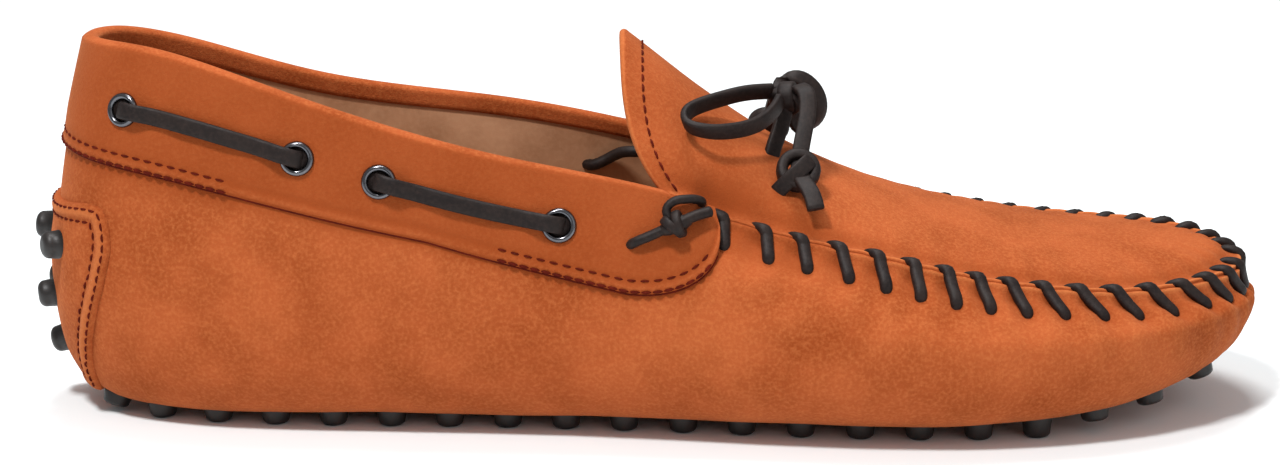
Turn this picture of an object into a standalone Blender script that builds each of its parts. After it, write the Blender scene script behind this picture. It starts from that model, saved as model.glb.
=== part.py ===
"""Driving moccasin for the right foot, as the pieces that a maker would put together.

Metres, +Z up, toe towards +X. The outer (lateral) side of the foot is towards -Y.
The origin is on the floor, under the heel.
"""

import math
from collections import namedtuple

import bmesh
import bpy
import numpy as np
from mathutils import Matrix, Vector
from mathutils.bvhtree import BVHTree

# Driving sizes of the last
SHOE_LENGTH = 0.2840
BALL_WIDTH = 0.1000
HEEL_HEIGHT = 0.0838
INSTEP_HEIGHT = 0.0850
HEEL_BACK = -0.0251
HEEL_RISE = 0.0034
TOE_SPRING = 0.0096
TREAD_RISE = 0.0010

# Thicknesses
GAP = 0.0003
WALL = 0.0022
BAND_STEP = 0.0009
SEAM_RISE = 0.0014
RUBBER_SHEET = 0.0012
INSOLE_THICKNESS = 0.0026
PATCH_THICKNESS = 0.0013
PATCH_PLATE = 0.0008

# Studs
STUD_HEIGHT = 0.0042
STUD_RADIUS = 0.0035
STUD_TIP_RADIUS = 0.0031
STUD_PITCH = 0.0136
STUD_SPREAD = 0.0150
STUD_SIDES = 6

# Eyelets and the flat side lace
EYELET_RADIUS = 0.0040
EYELET_BORE = 0.0024
EYELET_BARREL = 0.0029
EYELET_RISE = 0.0010
POCKET_DEPTH = 0.0012
EYELET_SIDES = 8
LACE_WIDTH = 0.0039
LACE_THICKNESS = 0.0016

# The bow's flat strap, and the round cord of the corners and of the inside
STRAP_WIDTH = 0.0040
STRAP_THICKNESS = 0.0017
CORD_RADIUS = 0.0012
TAIL_RADIUS = 0.0014
ROUTE_STEP = 0.0024

# Sections of the last, from the heel to the toe. along, tread_along and top_along are shares of
# SHOE_LENGTH from the back of the heel; width, tread and top_width are shares of half BALL_WIDTH;
# belly and of_heel are shares of HEEL_HEIGHT, and of_instep is a share of INSTEP_HEIGHT.
Section = namedtuple(
    "Section", "along width tread_along tread belly top_along top_width of_heel of_instep"
)
HEEL = Section(0.000, 0.00, 0.021, 0.00, 0.347, 0.030, 0.00, 0.998, 0.0)
OUTER_SIDE = (
    Section(0.028, 0.42, 0.043, 0.29, 0.325, 0.048, 0.28, 1.005, 0.0),
    Section(0.100, 0.62, 0.107, 0.47, 0.285, 0.100, 0.47, 0.995, 0.0),
    Section(0.220, 0.71, 0.225, 0.56, 0.250, 0.210, 0.60, 0.885, 0.0),
    Section(0.370, 0.77, 0.370, 0.60, 0.230, 0.360, 0.66, 0.370, 0.363),
    Section(0.530, 0.89, 0.530, 0.70, 0.210, 0.510, 0.66, 0.0, 0.622),
    Section(0.670, 0.99, 0.670, 0.80, 0.200, 0.655, 0.68, 0.0, 0.476),
    Section(0.790, 0.95, 0.788, 0.79, 0.200, 0.775, 0.66, 0.0, 0.385),
    Section(0.900, 0.73, 0.890, 0.60, 0.220, 0.885, 0.53, 0.0, 0.342),
    Section(0.967, 0.40, 0.950, 0.31, 0.230, 0.955, 0.30, 0.0, 0.342),
)
TOE = Section(1.000, -0.06, 0.978, -0.05, 0.240, 0.988, -0.06, 0.0, 0.347)
INNER_SIDE = (
    Section(0.028, 0.42, 0.043, 0.29, 0.325, 0.048, 0.28, 0.985, 0.0),
    Section(0.100, 0.61, 0.107, 0.45, 0.295, 0.100, 0.47, 0.933, 0.0),
    Section(0.220, 0.68, 0.225, 0.49, 0.275, 0.210, 0.60, 0.815, 0.0),
    Section(0.370, 0.66, 0.370, 0.46, 0.275, 0.360, 0.64, 0.370, 0.363),
    Section(0.530, 0.78, 0.530, 0.57, 0.230, 0.510, 0.62, 0.0, 0.635),
    Section(0.680, 0.98, 0.680, 0.80, 0.210, 0.660, 0.66, 0.0, 0.507),
    Section(0.790, 1.00, 0.788, 0.83, 0.210, 0.775, 0.70, 0.0, 0.422),
    Section(0.900, 0.84, 0.890, 0.68, 0.220, 0.885, 0.62, 0.0, 0.390),
    Section(0.970, 0.52, 0.950, 0.40, 0.230, 0.955, 0.42, 0.0, 0.380),
)

# Where the curves of the last sit on a section, from the middle of the sole (0) to the top (1)
SECTION_KNOTS = (0.0, 0.30, 0.52, 0.76, 1.0)
SHOULDER_RISE = 0.52
SHOULDER_LEAN = 0.28
SPINE_START = 0.10
SPINE_END = 0.90
HEEL_FLAT = 0.10
FLAT_END = 0.66
SPRING_POWER = 2.6

# The plug: crown is a share of INSTEP_HEIGHT, lean a share of SHOE_LENGTH, from throat to toe
THROAT = 0.508
LEAN_POWER = 6
PlugRow = namedtuple("PlugRow", "forward crown lean")
PLUG = (
    PlugRow(0.00, 0.373, 0.035),
    PlugRow(0.20, 0.171, 0.022),
    PlugRow(0.40, 0.091, 0.010),
    PlugRow(0.60, 0.062, 0.003),
    PlugRow(0.80, 0.041, 0.0),
    PlugRow(0.93, 0.021, 0.0),
    PlugRow(1.00, 0.0, 0.0),
)

# Rows and columns of the shell. round is the share of the way round the belly, heel 0, toe 0.5.
LOW_ROWS = (0.0, 0.13, 0.26, 0.32, 0.42, 0.56)
BAND_ROWS = (0.5, 0.87, 1.0)
BAND_BEVEL = 0.006
COLLAR_COLUMNS = 16
PLUG_COLUMNS = 12
COLLAR_CROWDING = 1.3
TOE_CROWDING = 1.2
PLUG_ACROSS = (-0.92, -0.65, -0.33, 0.0, 0.33, 0.65, 0.92)
SHEET_ROWS = 2
INSOLE_ROWS = 3

# The collar band's lower edge: straight pieces, then a rounded corner up to the plug seam
BandPoint = namedtuple("BandPoint", "round up")
BAND_EDGE = (BandPoint(0.0, 0.785), BandPoint(0.165, 0.755), BandPoint(0.235, 0.690))
BAND_END = 0.2737
BAND_CORNER_POWER = 2.2

# The heel patch's half width, and its studs, from its lower edge to its top
PatchRow = namedtuple("PatchRow", "up round")
PATCH = (
    PatchRow(0.275, 0.030),
    PatchRow(0.330, 0.0355),
    PatchRow(0.405, 0.0385),
    PatchRow(0.480, 0.0430),
    PatchRow(0.550, 0.0467),
    PatchRow(0.620, 0.0505),
    PatchRow(0.675, 0.0525),
    PatchRow(0.700, 0.0495),
    PatchRow(0.710, 0.0430),
)
PATCH_ACROSS = 12
PATCH_BORDER = 0.25
PATCH_HEM = 0.125
PLATE_COLUMNS = 8
PLATE_ROWS = (0.345, 0.405, 0.480, 0.550, 0.620, 0.655)
HeelStudRow = namedtuple("HeelStudRow", "up count")
HEEL_STUDS = (HeelStudRow(0.593, 3), HeelStudRow(0.485, 2), HeelStudRow(0.385, 1))
HEEL_STUD_SPACING = 0.0235

# Eyelets, from the heel forward
Eyelet = namedtuple("Eyelet", "round up")
EYELETS = (
    Eyelet(0.0550, 0.885),
    Eyelet(0.1217, 0.878),
    Eyelet(0.1500, 0.875),
    Eyelet(0.2133, 0.853),
)

# Loose laces, their points chosen by hand. The corner laces and those on the lining follow the
# form: round and up are places on it, and over is the height above its face in metres.
FormPoint = namedtuple("FormPoint", "round up over")
CORNER_LACE = (
    FormPoint(0.2385, 0.829, 0.0026),
    FormPoint(0.2425, 0.845, 0.0028),
    FormPoint(0.2475, 0.865, 0.0032),
    FormPoint(0.2512, 0.881, 0.0034),
)
CORNER_KNOT = FormPoint(0.2565, 0.903, 0.0037)
CORNER_KNOT_RADII = (0.0029, 0.0029, 0.0023)
CORNER_ARC = (
    FormPoint(0.2550, 0.956, 0.0034),
    FormPoint(0.2575, 0.972, 0.0038),
    FormPoint(0.2620, 0.987, 0.0037),
    FormPoint(0.2655, 0.996, 0.0033),
    FormPoint(0.2680, 1.000, 0.0030),
)
CORNER_TAIL = (
    FormPoint(0.2618, 0.930, 0.0041),
    FormPoint(0.2655, 0.948, 0.0038),
    FormPoint(0.2700, 0.968, 0.0035),
)
TONGUE_LACE = (
    FormPoint(0.2215, 0.838, -0.0039),
    FormPoint(0.2290, 0.875, -0.0043),
    FormPoint(0.2360, 0.918, -0.0055),
    FormPoint(0.2425, 0.945, -0.0070),
    FormPoint(0.2510, 0.955, -0.0062),
    FormPoint(0.2590, 0.940, -0.0041),
)

# The bow over the tongue: each route in metres from the origin, and the way that the strap's
# broad side runs across it
Knot = namedtuple("Knot", "centre radii out")
BOW_KNOT = Knot((0.1470, -0.0030, 0.0740), (0.0043, 0.0043, 0.0040), (0.0, 0.0, 1.0))
END_KNOTS = {
    "outer": Knot((0.1488, -0.0200, 0.0603), (0.0050, 0.0050, 0.0028), (0.39, -0.39, 0.84)),
    "inner": Knot((0.1436, 0.0225, 0.0619), (0.0050, 0.0050, 0.0028), (0.39, 0.39, 0.84)),
}
Strap = namedtuple("Strap", "name across route")
BOW_STRAPS = (
    Strap(
        "bow_stem_outer",
        (0.8, 0.5, -0.2),
        (
            (0.1436, -0.0106, 0.0640),
            (0.1446, -0.0090, 0.0665),
            (0.1458, -0.0064, 0.0698),
        ),
    ),
    Strap(
        "bow_stem_inner",
        (0.8, -0.5, -0.2),
        (
            (0.1432, 0.0078, 0.0649),
            (0.1440, 0.0056, 0.0670),
            (0.1451, 0.0020, 0.0698),
        ),
    ),
    Strap(
        "bow_loop_outer",
        (-0.25, -0.55, 0.80),
        (
            (0.1428, -0.0054, 0.0759),
            (0.1370, -0.0090, 0.0762),
            (0.1310, -0.0130, 0.0756),
            (0.1260, -0.0170, 0.0748),
            (0.1230, -0.0210, 0.0736),
            (0.1232, -0.0245, 0.0720),
            (0.1270, -0.0260, 0.0709),
            (0.1330, -0.0240, 0.0704),
            (0.1390, -0.0190, 0.0708),
            (0.1432, -0.0125, 0.0725),
            (0.1449, -0.0077, 0.0740),
        ),
    ),
    Strap(
        "bow_loop_inner",
        (0.15, 1.0, 0.1),
        (
            (0.1464, 0.0036, 0.0768),
            (0.1490, 0.0044, 0.0772),
            (0.1531, 0.0052, 0.0749),
            (0.1551, 0.0058, 0.0706),
            (0.1545, 0.0062, 0.0668),
            (0.1522, 0.0058, 0.0648),
            (0.1496, 0.0046, 0.0660),
            (0.1486, 0.0036, 0.0687),
            (0.1485, 0.0026, 0.0708),
        ),
    ),
    Strap(
        "lace_end_outer",
        (1.0, 0.1, 0.1),
        (
            (0.1508, -0.0078, 0.0762),
            (0.1513, -0.0102, 0.0736),
            (0.1506, -0.0134, 0.0693),
            (0.1495, -0.0167, 0.0645),
        ),
    ),
    Strap(
        "lace_end_inner",
        (1.0, 0.0, 0.1),
        (
            (0.1452, 0.0024, 0.0744),
            (0.1448, 0.0064, 0.0724),
            (0.1443, 0.0120, 0.0684),
            (0.1438, 0.0177, 0.0643),
        ),
    ),
    Strap(
        "lace_tail_outer",
        (0.85, 0.15, -0.3),
        (
            (0.1502, -0.0250, 0.0582),
            (0.1514, -0.0275, 0.0566),
            (0.1526, -0.0298, 0.0550),
        ),
    ),
    Strap(
        "lace_tail_inner",
        (1.0, 0.0, -0.3),
        (
            (0.1436, 0.0276, 0.0598),
            (0.1436, 0.0300, 0.0586),
            (0.1436, 0.0322, 0.0572),
        ),
    ),
)

FLAT_TOLERANCE = 0.0006
DOWN = np.array([0.0, 0.0, -1.0])


def spline_slopes(knots, values, closed=False, start=None):
    """Slopes of the smooth curve through values at knots; a closed curve repeats its first value."""
    count = len(knots) - 1 if closed else len(knots)
    step = np.diff(knots)
    chord = np.diff(values, axis=0) / step[:, None]
    matrix = np.zeros((count, count))
    right = np.zeros((count, values.shape[1]))
    for i in range(count if closed else count - 1):
        if not closed and i == 0:
            continue
        matrix[i, i - 1] += step[i]
        matrix[i, i] += 2 * (step[i - 1] + step[i])
        matrix[i, (i + 1) % count] += step[i - 1]
        right[i] = 3 * (step[i] * chord[i - 1] + step[i - 1] * chord[i])
    if closed:
        slopes = np.linalg.solve(matrix, right)
        return np.vstack([slopes, slopes[:1]])
    if start is None:
        matrix[0, :2] = 2, 1
        right[0] = 3 * chord[0]
    else:
        matrix[0, 0] = 1
        right[0] = start
    matrix[-1, -2:] = 1, 2
    right[-1] = 3 * chord[-1]
    return np.linalg.solve(matrix, right)


def between(start, start_slope, end, end_slope, step, t):
    """Points at the shares t of a cubic from start to end, with these slopes."""
    return (
        (2 * t**3 - 3 * t**2 + 1) * start
        + (t**3 - 2 * t**2 + t) * start_slope * step
        + (3 * t**2 - 2 * t**3) * end
        + (t**3 - t**2) * end_slope * step
    )


def on_spline(knots, values, slopes, place):
    """Values of the smooth curve at each place."""
    place = np.asarray(place, float)
    i = np.clip(np.searchsorted(knots, place, side="right") - 1, 0, len(knots) - 2)
    step = (knots[i + 1] - knots[i])[..., None]
    t = (place[..., None] - knots[i][..., None]) / step
    return between(values[i], slopes[i], values[i + 1], slopes[i + 1], step, t)


def smooth_route(route, step):
    """A smooth curve through the route's points, read at about every step."""
    route = np.array(route)
    run = np.linalg.norm(np.diff(route, axis=0), axis=1)
    knots = np.concatenate([[0.0], np.cumsum(run)])
    count = max(round(knots[-1] / step), 2)
    places = np.linspace(0.0, knots[-1], count + 1)
    return on_spline(knots, route, spline_slopes(knots, route), places)


def underside(along):
    """Height of the suede's underside at a share of the length."""
    heel = np.clip((HEEL_FLAT - along) / HEEL_FLAT, 0, None) ** 2
    toe = np.clip((along - FLAT_END) / (1 - FLAT_END), 0, None) ** SPRING_POWER
    return STUD_HEIGHT + HEEL_RISE * heel + TOE_SPRING * toe


def from_heel(along):
    return HEEL_BACK + along * SHOE_LENGTH


class Last:
    """The smooth outer form: rings round the foot, joined by a smooth section at each place."""

    def __init__(self):
        half = BALL_WIDTH / 2
        sides = [(HEEL, -1), *((row, -1) for row in OUTER_SIDE), (TOE, -1)]
        sides += [(row, 1) for row in reversed(INNER_SIDE)] + [(HEEL, -1)]
        tread, belly, top = [], [], []
        for row, side in sides:
            low = underside(row.tread_along) + TREAD_RISE
            tread.append((from_heel(row.tread_along), side * row.tread * half, low))
            middle = STUD_HEIGHT + row.belly * HEEL_HEIGHT
            belly.append((from_heel(row.along), side * row.width * half, middle))
            high = STUD_HEIGHT + row.of_heel * HEEL_HEIGHT + row.of_instep * INSTEP_HEIGHT
            top.append((from_heel(row.top_along), side * row.top_width * half, high))
        belly, top = np.array(belly), np.array(top)
        shoulder = belly + (top - belly) * SHOULDER_LEAN
        shoulder[:, 2] = belly[:, 2] + (top[:, 2] - belly[:, 2]) * SHOULDER_RISE
        self.rings = [np.array(tread), belly, shoulder, top]
        run = np.concatenate([[0.0], np.cumsum(np.linalg.norm(np.diff(belly, axis=0), axis=1))])
        toe = len(OUTER_SIDE) + 1
        front = 0.5 * run[: toe + 1] / run[toe]
        back = 0.5 + 0.5 * (run[toe + 1 :] - run[toe]) / (run[-1] - run[toe])
        self.knots = np.concatenate([front, back])
        self.slopes = [spline_slopes(self.knots, ring, closed=True) for ring in self.rings]

    def ring(self, k, around):
        return on_spline(self.knots, self.rings[k], self.slopes[k], np.mod(around, 1.0))

    def spine(self, around):
        share = (1 - np.cos(2 * math.pi * np.asarray(around))) / 2
        along = SPINE_START + (SPINE_END - SPINE_START) * share
        return np.stack([from_heel(along), 0 * along, underside(along)], axis=-1)

    def point(self, around, up):
        """Points of the outer form; around and up are arrays of one shape."""
        around, up = np.broadcast_arrays(np.asarray(around, float), np.asarray(up, float))
        shape = around.shape
        around, up = around.ravel(), up.ravel()
        knots = np.array(SECTION_KNOTS)
        values = np.array([self.spine(around), *(self.ring(k, around) for k in range(4))])
        level = (values[1] - values[0]) / (knots[1] - knots[0])
        level[:, 2] = 0.0
        flat = values.reshape(len(knots), -1)
        slopes = spline_slopes(knots, flat, start=level.ravel()).reshape(values.shape)
        i = np.clip(np.searchsorted(knots, up, side="right") - 1, 0, len(knots) - 2)
        pick = np.arange(len(up))
        step = (knots[i + 1] - knots[i])[:, None]
        t = (up[:, None] - knots[i][:, None]) / step
        start, end = values[i, pick], values[i + 1, pick]
        found = between(start, slopes[i, pick], end, slopes[i + 1, pick], step, t)
        return found.reshape(*shape, 3)

    def normal(self, around, up, reach=0.002):
        """Unit vectors pointing out of the form."""
        around, up = np.asarray(around, float), np.asarray(up, float)
        forward = self.point(around + reach, up) - self.point(around - reach, up)
        rise = self.point(around, up + reach) - self.point(around, up - reach)
        out = np.cross(forward, rise)
        return out / np.linalg.norm(out, axis=-1, keepdims=True)

    def over(self, place, side):
        """The point at a height over the form, on one side of the foot."""
        around = place.round if side < 0 else 1 - place.round
        return self.point(around, place.up) + self.normal(around, place.up) * place.over

    def throat(self, side):
        """Share of the way round at which the top edge reaches the throat, on one side."""
        tries = np.linspace(0.15, 0.35, 401)
        around = tries if side < 0 else 1 - tries
        x = self.ring(3, around)[:, 0]
        return float(np.interp(from_heel(THROAT), x, around))


def band_edge(around):
    """Height share of the collar band's lower edge, 1 in front of the band."""
    turn = np.minimum(np.mod(around, 1.0), 1 - np.mod(around, 1.0))
    last = BAND_EDGE[-1]
    straight = np.interp(turn, [p.round for p in BAND_EDGE], [p.up for p in BAND_EDGE])
    reach = np.clip((turn - last.round) / (BAND_END - last.round), 0, 1)
    drop = (1 - reach**BAND_CORNER_POWER) ** (1 / BAND_CORNER_POWER)
    return np.where(turn <= last.round, straight, 1 - (1 - last.up) * drop)


class Shell:
    """The outer form as a grid of points, with its faces and its normals."""

    def __init__(self, last):
        self.pairs = COLLAR_COLUMNS + PLUG_COLUMNS
        self.columns = 2 * self.pairs
        collar = (np.arange(COLLAR_COLUMNS) / COLLAR_COLUMNS) ** COLLAR_CROWDING
        plug = 1 - (1 - np.arange(PLUG_COLUMNS + 1) / PLUG_COLUMNS) ** TOE_CROWDING
        outer_throat, inner_throat = last.throat(-1), last.throat(1)
        outer = np.concatenate([outer_throat * collar, outer_throat + (0.5 - outer_throat) * plug])
        inner = np.concatenate(
            [1 - (1 - inner_throat) * collar, inner_throat + (0.5 - inner_throat) * plug]
        )
        self.around = np.concatenate([outer, inner[1:-1][::-1]])
        self.forward = plug
        points = [last.spine((outer + 1 - inner) / 2)]
        rises = [np.zeros(self.pairs + 1)]
        edge = band_edge(self.around)
        has_band = edge < 1 - 4 * BAND_BEVEL
        edge = np.where(has_band, edge, BAND_EDGE[-1].up)
        band = np.where(has_band, BAND_STEP, 0.0)
        rows = [(np.full(self.columns, up), 0 * band) for up in LOW_ROWS[1:]]
        rows.append((edge - BAND_BEVEL, 0 * band))
        rows.append((edge + BAND_BEVEL, band))
        for share in BAND_ROWS:
            rows.append((edge + BAND_BEVEL + (1 - edge - BAND_BEVEL) * share, band))
        for up, rise in rows:
            points.append(last.point(self.around, up))
            rises.append(rise)
        self.rows = len(rows) + 1
        seam = self.seam_columns()
        rises[-1] = rises[-1].copy()
        rises[-1][seam[1:]] = SEAM_RISE
        self.top = len(points[0]) + (self.rows - 2) * self.columns
        points.append(self.plug_points(points[-1]))
        rises.append(np.zeros(len(points[-1])))
        self.points = np.concatenate(points)
        self.rises = np.concatenate(rises)
        self.faces = self.wrap_faces() + self.plug_faces()
        self.normals = self.vertex_normals()

    def pair_of(self, column):
        column %= self.columns
        return column if column <= self.pairs else self.columns - column

    def index(self, row, column):
        if row == 0:
            return self.pair_of(column)
        return self.pairs + 1 + (row - 1) * self.columns + column % self.columns

    def seam_columns(self):
        """Columns of the plug seam, from the outer throat round the toe to the inner one."""
        return list(range(COLLAR_COLUMNS, self.columns - COLLAR_COLUMNS + 1))

    def plug_points(self, top):
        """Points of the plug between its two seams, a row for each column of the seam."""
        knots = np.array([row.forward for row in PLUG])
        values = np.array([(row.crown, row.lean) for row in PLUG])
        form = on_spline(knots, values, spline_slopes(knots, values), self.forward[:-1])
        across = np.array(PLUG_ACROSS)[:, None]
        found = []
        for j in range(PLUG_COLUMNS):
            outer = top[COLLAR_COLUMNS + j]
            inner = top[self.columns - COLLAR_COLUMNS - j]
            line = outer * (1 - across) / 2 + inner * (1 + across) / 2
            line[:, 0] -= form[j, 1] * SHOE_LENGTH * (1 - across**LEAN_POWER)[:, 0]
            line[:, 2] += form[j, 0] * INSTEP_HEIGHT * (1 - across**2)[:, 0]
            found.append(line)
        return np.concatenate(found)

    def plug_index(self, j, k):
        """Index of the plug's point k across, at step j forward, its seams included."""
        if k == 0 or j == PLUG_COLUMNS:
            return self.index(self.rows - 1, COLLAR_COLUMNS + j)
        if k == len(PLUG_ACROSS) + 1:
            return self.index(self.rows - 1, self.columns - COLLAR_COLUMNS - j)
        first = self.pairs + 1 + (self.rows - 1) * self.columns
        return first + j * len(PLUG_ACROSS) + k - 1

    def wrap_faces(self, rows=None):
        faces = []
        for row in range((self.rows if rows is None else rows + 1) - 1):
            for column in range(self.columns):
                faces.append(
                    (
                        self.index(row, column),
                        self.index(row, column + 1),
                        self.index(row + 1, column + 1),
                        self.index(row + 1, column),
                    )
                )
        return faces

    def plug_faces(self):
        faces = []
        for j in range(PLUG_COLUMNS):
            for k in range(len(PLUG_ACROSS) + 1):
                corners = (
                    self.plug_index(j, k),
                    self.plug_index(j + 1, k),
                    self.plug_index(j + 1, k + 1),
                    self.plug_index(j, k + 1),
                )
                faces.append(tuple(dict.fromkeys(corners)))
        return faces

    def vertex_normals(self):
        normals = np.zeros_like(self.points)
        for face in self.faces:
            a, b, c, d = (self.points[face[i % len(face)]] for i in (0, 1, 2, -1))
            out = np.cross(c - a, d - b) if len(face) == 4 else np.cross(b - a, c - a)
            for i in face:
                normals[i] += out
        return normals / np.linalg.norm(normals, axis=1, keepdims=True)

    def rim(self):
        """The open edge, with the point just below each of its points."""
        last_row = self.rows - 1
        loop = []
        for column in range(self.columns - COLLAR_COLUMNS, self.columns + COLLAR_COLUMNS + 1):
            loop.append((self.index(last_row, column), self.index(last_row - 1, column)))
        for k in range(1, len(PLUG_ACROSS) + 1):
            loop.append((self.plug_index(0, k), self.plug_index(1, k)))
        return loop


def new_object(name, shape, finish):
    thing = bpy.data.objects.new(name, shape)
    bpy.context.collection.objects.link(thing)
    if finish:
        shape.materials.append(finish)
    return thing


def solid(name, points, faces, material):
    """An object from points and faces, with its faces turned out."""
    mesh = bpy.data.meshes.new(name)
    shape = bmesh.new()
    corners = [shape.verts.new(Vector(p)) for p in np.asarray(points, float)]
    for face in faces:
        shape.faces.new([corners[i] for i in face])
    bmesh.ops.recalc_face_normals(shape, faces=shape.faces)
    shape.to_mesh(mesh)
    shape.free()
    return new_object(name, mesh, material)


def layer(name, shell, rows, low, high, material):
    """A sheet inside the shell, from the spine up to a row, between two depths."""
    count = shell.pairs + 1 + rows * shell.columns
    points = shell.points[:count]
    normals = shell.normals[:count]
    floor = shell.wrap_faces(rows)
    faces = floor + [tuple(i + count for i in reversed(face)) for face in floor]
    for column in range(shell.columns):
        a, b = shell.index(rows, column), shell.index(rows, column + 1)
        faces.append((a, b, b + count, a + count))
    return solid(name, np.vstack([points - normals * low, points - normals * high]), faces, material)


def prism(shape, centre, out, radii, depths, sides, turn=0.0):
    """Adds a straight or tapered prism along out, from depths[0] to depths[1]."""
    out = np.asarray(out, float)
    side = np.cross(out, (0.0, 1.0, 0.0) if abs(out[1]) < 0.9 else (1.0, 0.0, 0.0))
    side /= np.linalg.norm(side)
    other = np.cross(out, side)
    rings = []
    for radius, depth in zip(radii, depths):
        ring = []
        for k in range(sides):
            angle = turn + 2 * math.pi * k / sides
            offset = radius * (math.cos(angle) * side + math.sin(angle) * other)
            ring.append(shape.verts.new(Vector(centre + out * depth + offset)))
        rings.append(ring)
    shape.faces.new(reversed(rings[0]))
    shape.faces.new(rings[1])
    for k in range(sides):
        m = (k + 1) % sides
        shape.faces.new((rings[0][k], rings[0][m], rings[1][m], rings[1][k]))


def prisms(name, rows, sides):
    """A helper object of separate prisms, hidden from renders."""
    mesh = bpy.data.meshes.new(name)
    shape = bmesh.new()
    for row in rows:
        prism(shape, *row, sides)
    bmesh.ops.recalc_face_normals(shape, faces=shape.faces)
    shape.to_mesh(mesh)
    shape.free()
    helper = new_object(name, mesh, None)
    helper.hide_render = True
    helper.display_type = "WIRE"
    return helper


def combine(thing, helper, operation):
    change = thing.modifiers.new(helper.name, "BOOLEAN")
    change.operation = operation
    change.object = helper
    change.solver = "EXACT"


def material(name, colour, roughness, metallic=0.0):
    made = bpy.data.materials.new(name)
    made.use_nodes = True
    shader = made.node_tree.nodes["Principled BSDF"]
    shader.inputs["Base Color"].default_value = (*colour, 1.0)
    shader.inputs["Roughness"].default_value = roughness
    shader.inputs["Metallic"].default_value = metallic
    return made


def sole_studs(last, shell):
    """Places of the studs under the foot, each with the way it points and how far it stands out."""
    edge_around = np.linspace(0.0, 1.0, 361)
    edge = last.point(edge_around, np.full(361, LOW_ROWS[SHEET_ROWS]))
    margin = STUD_RADIUS + GAP
    count = shell.pairs + 1 + (len(LOW_ROWS) - 1) * shell.columns
    points = [Vector(p) for p in shell.points[:count]]
    tree = BVHTree.FromPolygons(points, shell.wrap_faces(len(LOW_ROWS) - 1))
    outer, inner = edge[:181], edge[180:][::-1]
    outer = outer[outer[:, 0].argmin() : outer[:, 0].argmax() + 1]
    inner = inner[inner[:, 0].argmin() : inner[:, 0].argmax() + 1]
    first = math.ceil((edge[:, 0].min() + margin) / STUD_PITCH)
    end = math.floor((edge[:, 0].max() - margin) / STUD_PITCH)
    studs = []
    for row in range(first, end + 1):
        x = row * STUD_PITCH
        low = np.interp(x, outer[:, 0], outer[:, 1]) + margin
        high = np.interp(x, inner[:, 0], inner[:, 1]) - margin
        many = max(round((high - low) / STUD_SPREAD) + 1, 1)
        places = np.linspace(low, high, many) if many > 1 else [(low + high) / 2]
        for y in places:
            found, normal, _, _ = tree.ray_cast(Vector((x, y, -0.1)), Vector((0, 0, 1)))
            place, out = np.array(found), np.array(normal)
            length = STUD_HEIGHT
            if place[2] - STUD_HEIGHT < FLAT_TOLERANCE:
                out, length = DOWN, place[2]
            studs.append((place, out if out[2] < 0 else -out, length))
    return studs


def make_upper(last, shell, studs, suede):
    """The hollow shell: outer face, inner face and a rounded edge, then its holes."""
    count = len(shell.points)
    outer = shell.points + shell.normals * shell.rises[:, None]
    inner = shell.points - shell.normals * WALL
    rim = shell.rim()
    crest = []
    for edge, below in rim:
        away = shell.points[edge] - shell.points[below]
        away /= np.linalg.norm(away)
        crest.append((outer[edge] + inner[edge]) / 2 + away * WALL / 2)
    faces = list(shell.faces)
    faces += [tuple(i + count for i in reversed(face)) for face in shell.faces]
    for i, (a, _) in enumerate(rim):
        b = rim[(i + 1) % len(rim)][0]
        c, d = 2 * count + i, 2 * count + (i + 1) % len(rim)
        faces += [(a, b, d, c), (c, d, b + count, a + count)]
    upper = solid("upper", np.vstack([outer, inner, crest]), faces, suede)
    holes = []
    clear = GAP / math.cos(math.pi / STUD_SIDES)
    for place, out, _ in studs:
        radius = STUD_RADIUS + clear
        holes.append((place, out, (radius, radius), (-3 * WALL, 2 * WALL)))
    combine(upper, prisms("stud_holes", holes, STUD_SIDES), "DIFFERENCE")
    pockets = []
    for side in (-1, 1):
        for eyelet in EYELETS:
            place, out = on_band(last, eyelet, side)
            radius = EYELET_BARREL + GAP / math.cos(math.pi / EYELET_SIDES)
            pockets.append((place, out, (radius, radius), (-BAND_STEP - POCKET_DEPTH, 2 * WALL)))
    combine(upper, prisms("eyelet_pockets", pockets, EYELET_SIDES), "DIFFERENCE")
    return upper


def on_band(last, place, side):
    """A point on the collar band's face, and the way out of it."""
    around = place.round if side < 0 else 1 - place.round
    out = last.normal(around, place.up)
    return last.point(around, place.up) + out * BAND_STEP, out


def make_sole(shell, studs, rubber):
    low = WALL + GAP
    sole = layer("rubber_sole", shell, SHEET_ROWS, low, low + RUBBER_SHEET, rubber)
    rows = []
    for place, out, length in studs:
        rows.append((place, out, (STUD_RADIUS, STUD_TIP_RADIUS), (-low - RUBBER_SHEET / 2, length)))
    combine(sole, prisms("stud_bodies", rows, STUD_SIDES), "UNION")
    return sole


def make_insole(shell, leather):
    low = WALL + GAP + RUBBER_SHEET + GAP
    return layer("insole", shell, INSOLE_ROWS, low, low + INSOLE_THICKNESS, leather)


def sheet_between(name, points, low, high, normals, material):
    """A closed sheet from a grid of points, between two heights over it."""
    rows, columns = points.shape[:2]
    count = rows * columns
    lower = (points + normals * low[..., None]).reshape(-1, 3)
    upper = (points + normals * high[..., None]).reshape(-1, 3)
    faces = []
    for row in range(rows - 1):
        for column in range(columns - 1):
            a = row * columns + column
            face = (a, a + 1, a + columns + 1, a + columns)
            faces += [face, tuple(i + count for i in reversed(face))]
    loop = list(range(columns))
    loop += [row * columns + columns - 1 for row in range(1, rows)]
    loop += [(rows - 1) * columns + column for column in range(columns - 2, -1, -1)]
    loop += [row * columns for row in range(rows - 2, 0, -1)]
    for i, a in enumerate(loop):
        b = loop[(i + 1) % len(loop)]
        faces.append((a, b, b + count, a + count))
    return solid(name, np.vstack([lower, upper]), faces, material)


def heel_stud_rows(last):
    found = []
    for row in HEEL_STUDS:
        for k in range(row.count):
            around = (k - (row.count - 1) / 2) * HEEL_STUD_SPACING
            found.append((last.point(around, row.up), last.normal(around, row.up)))
    return found


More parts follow.
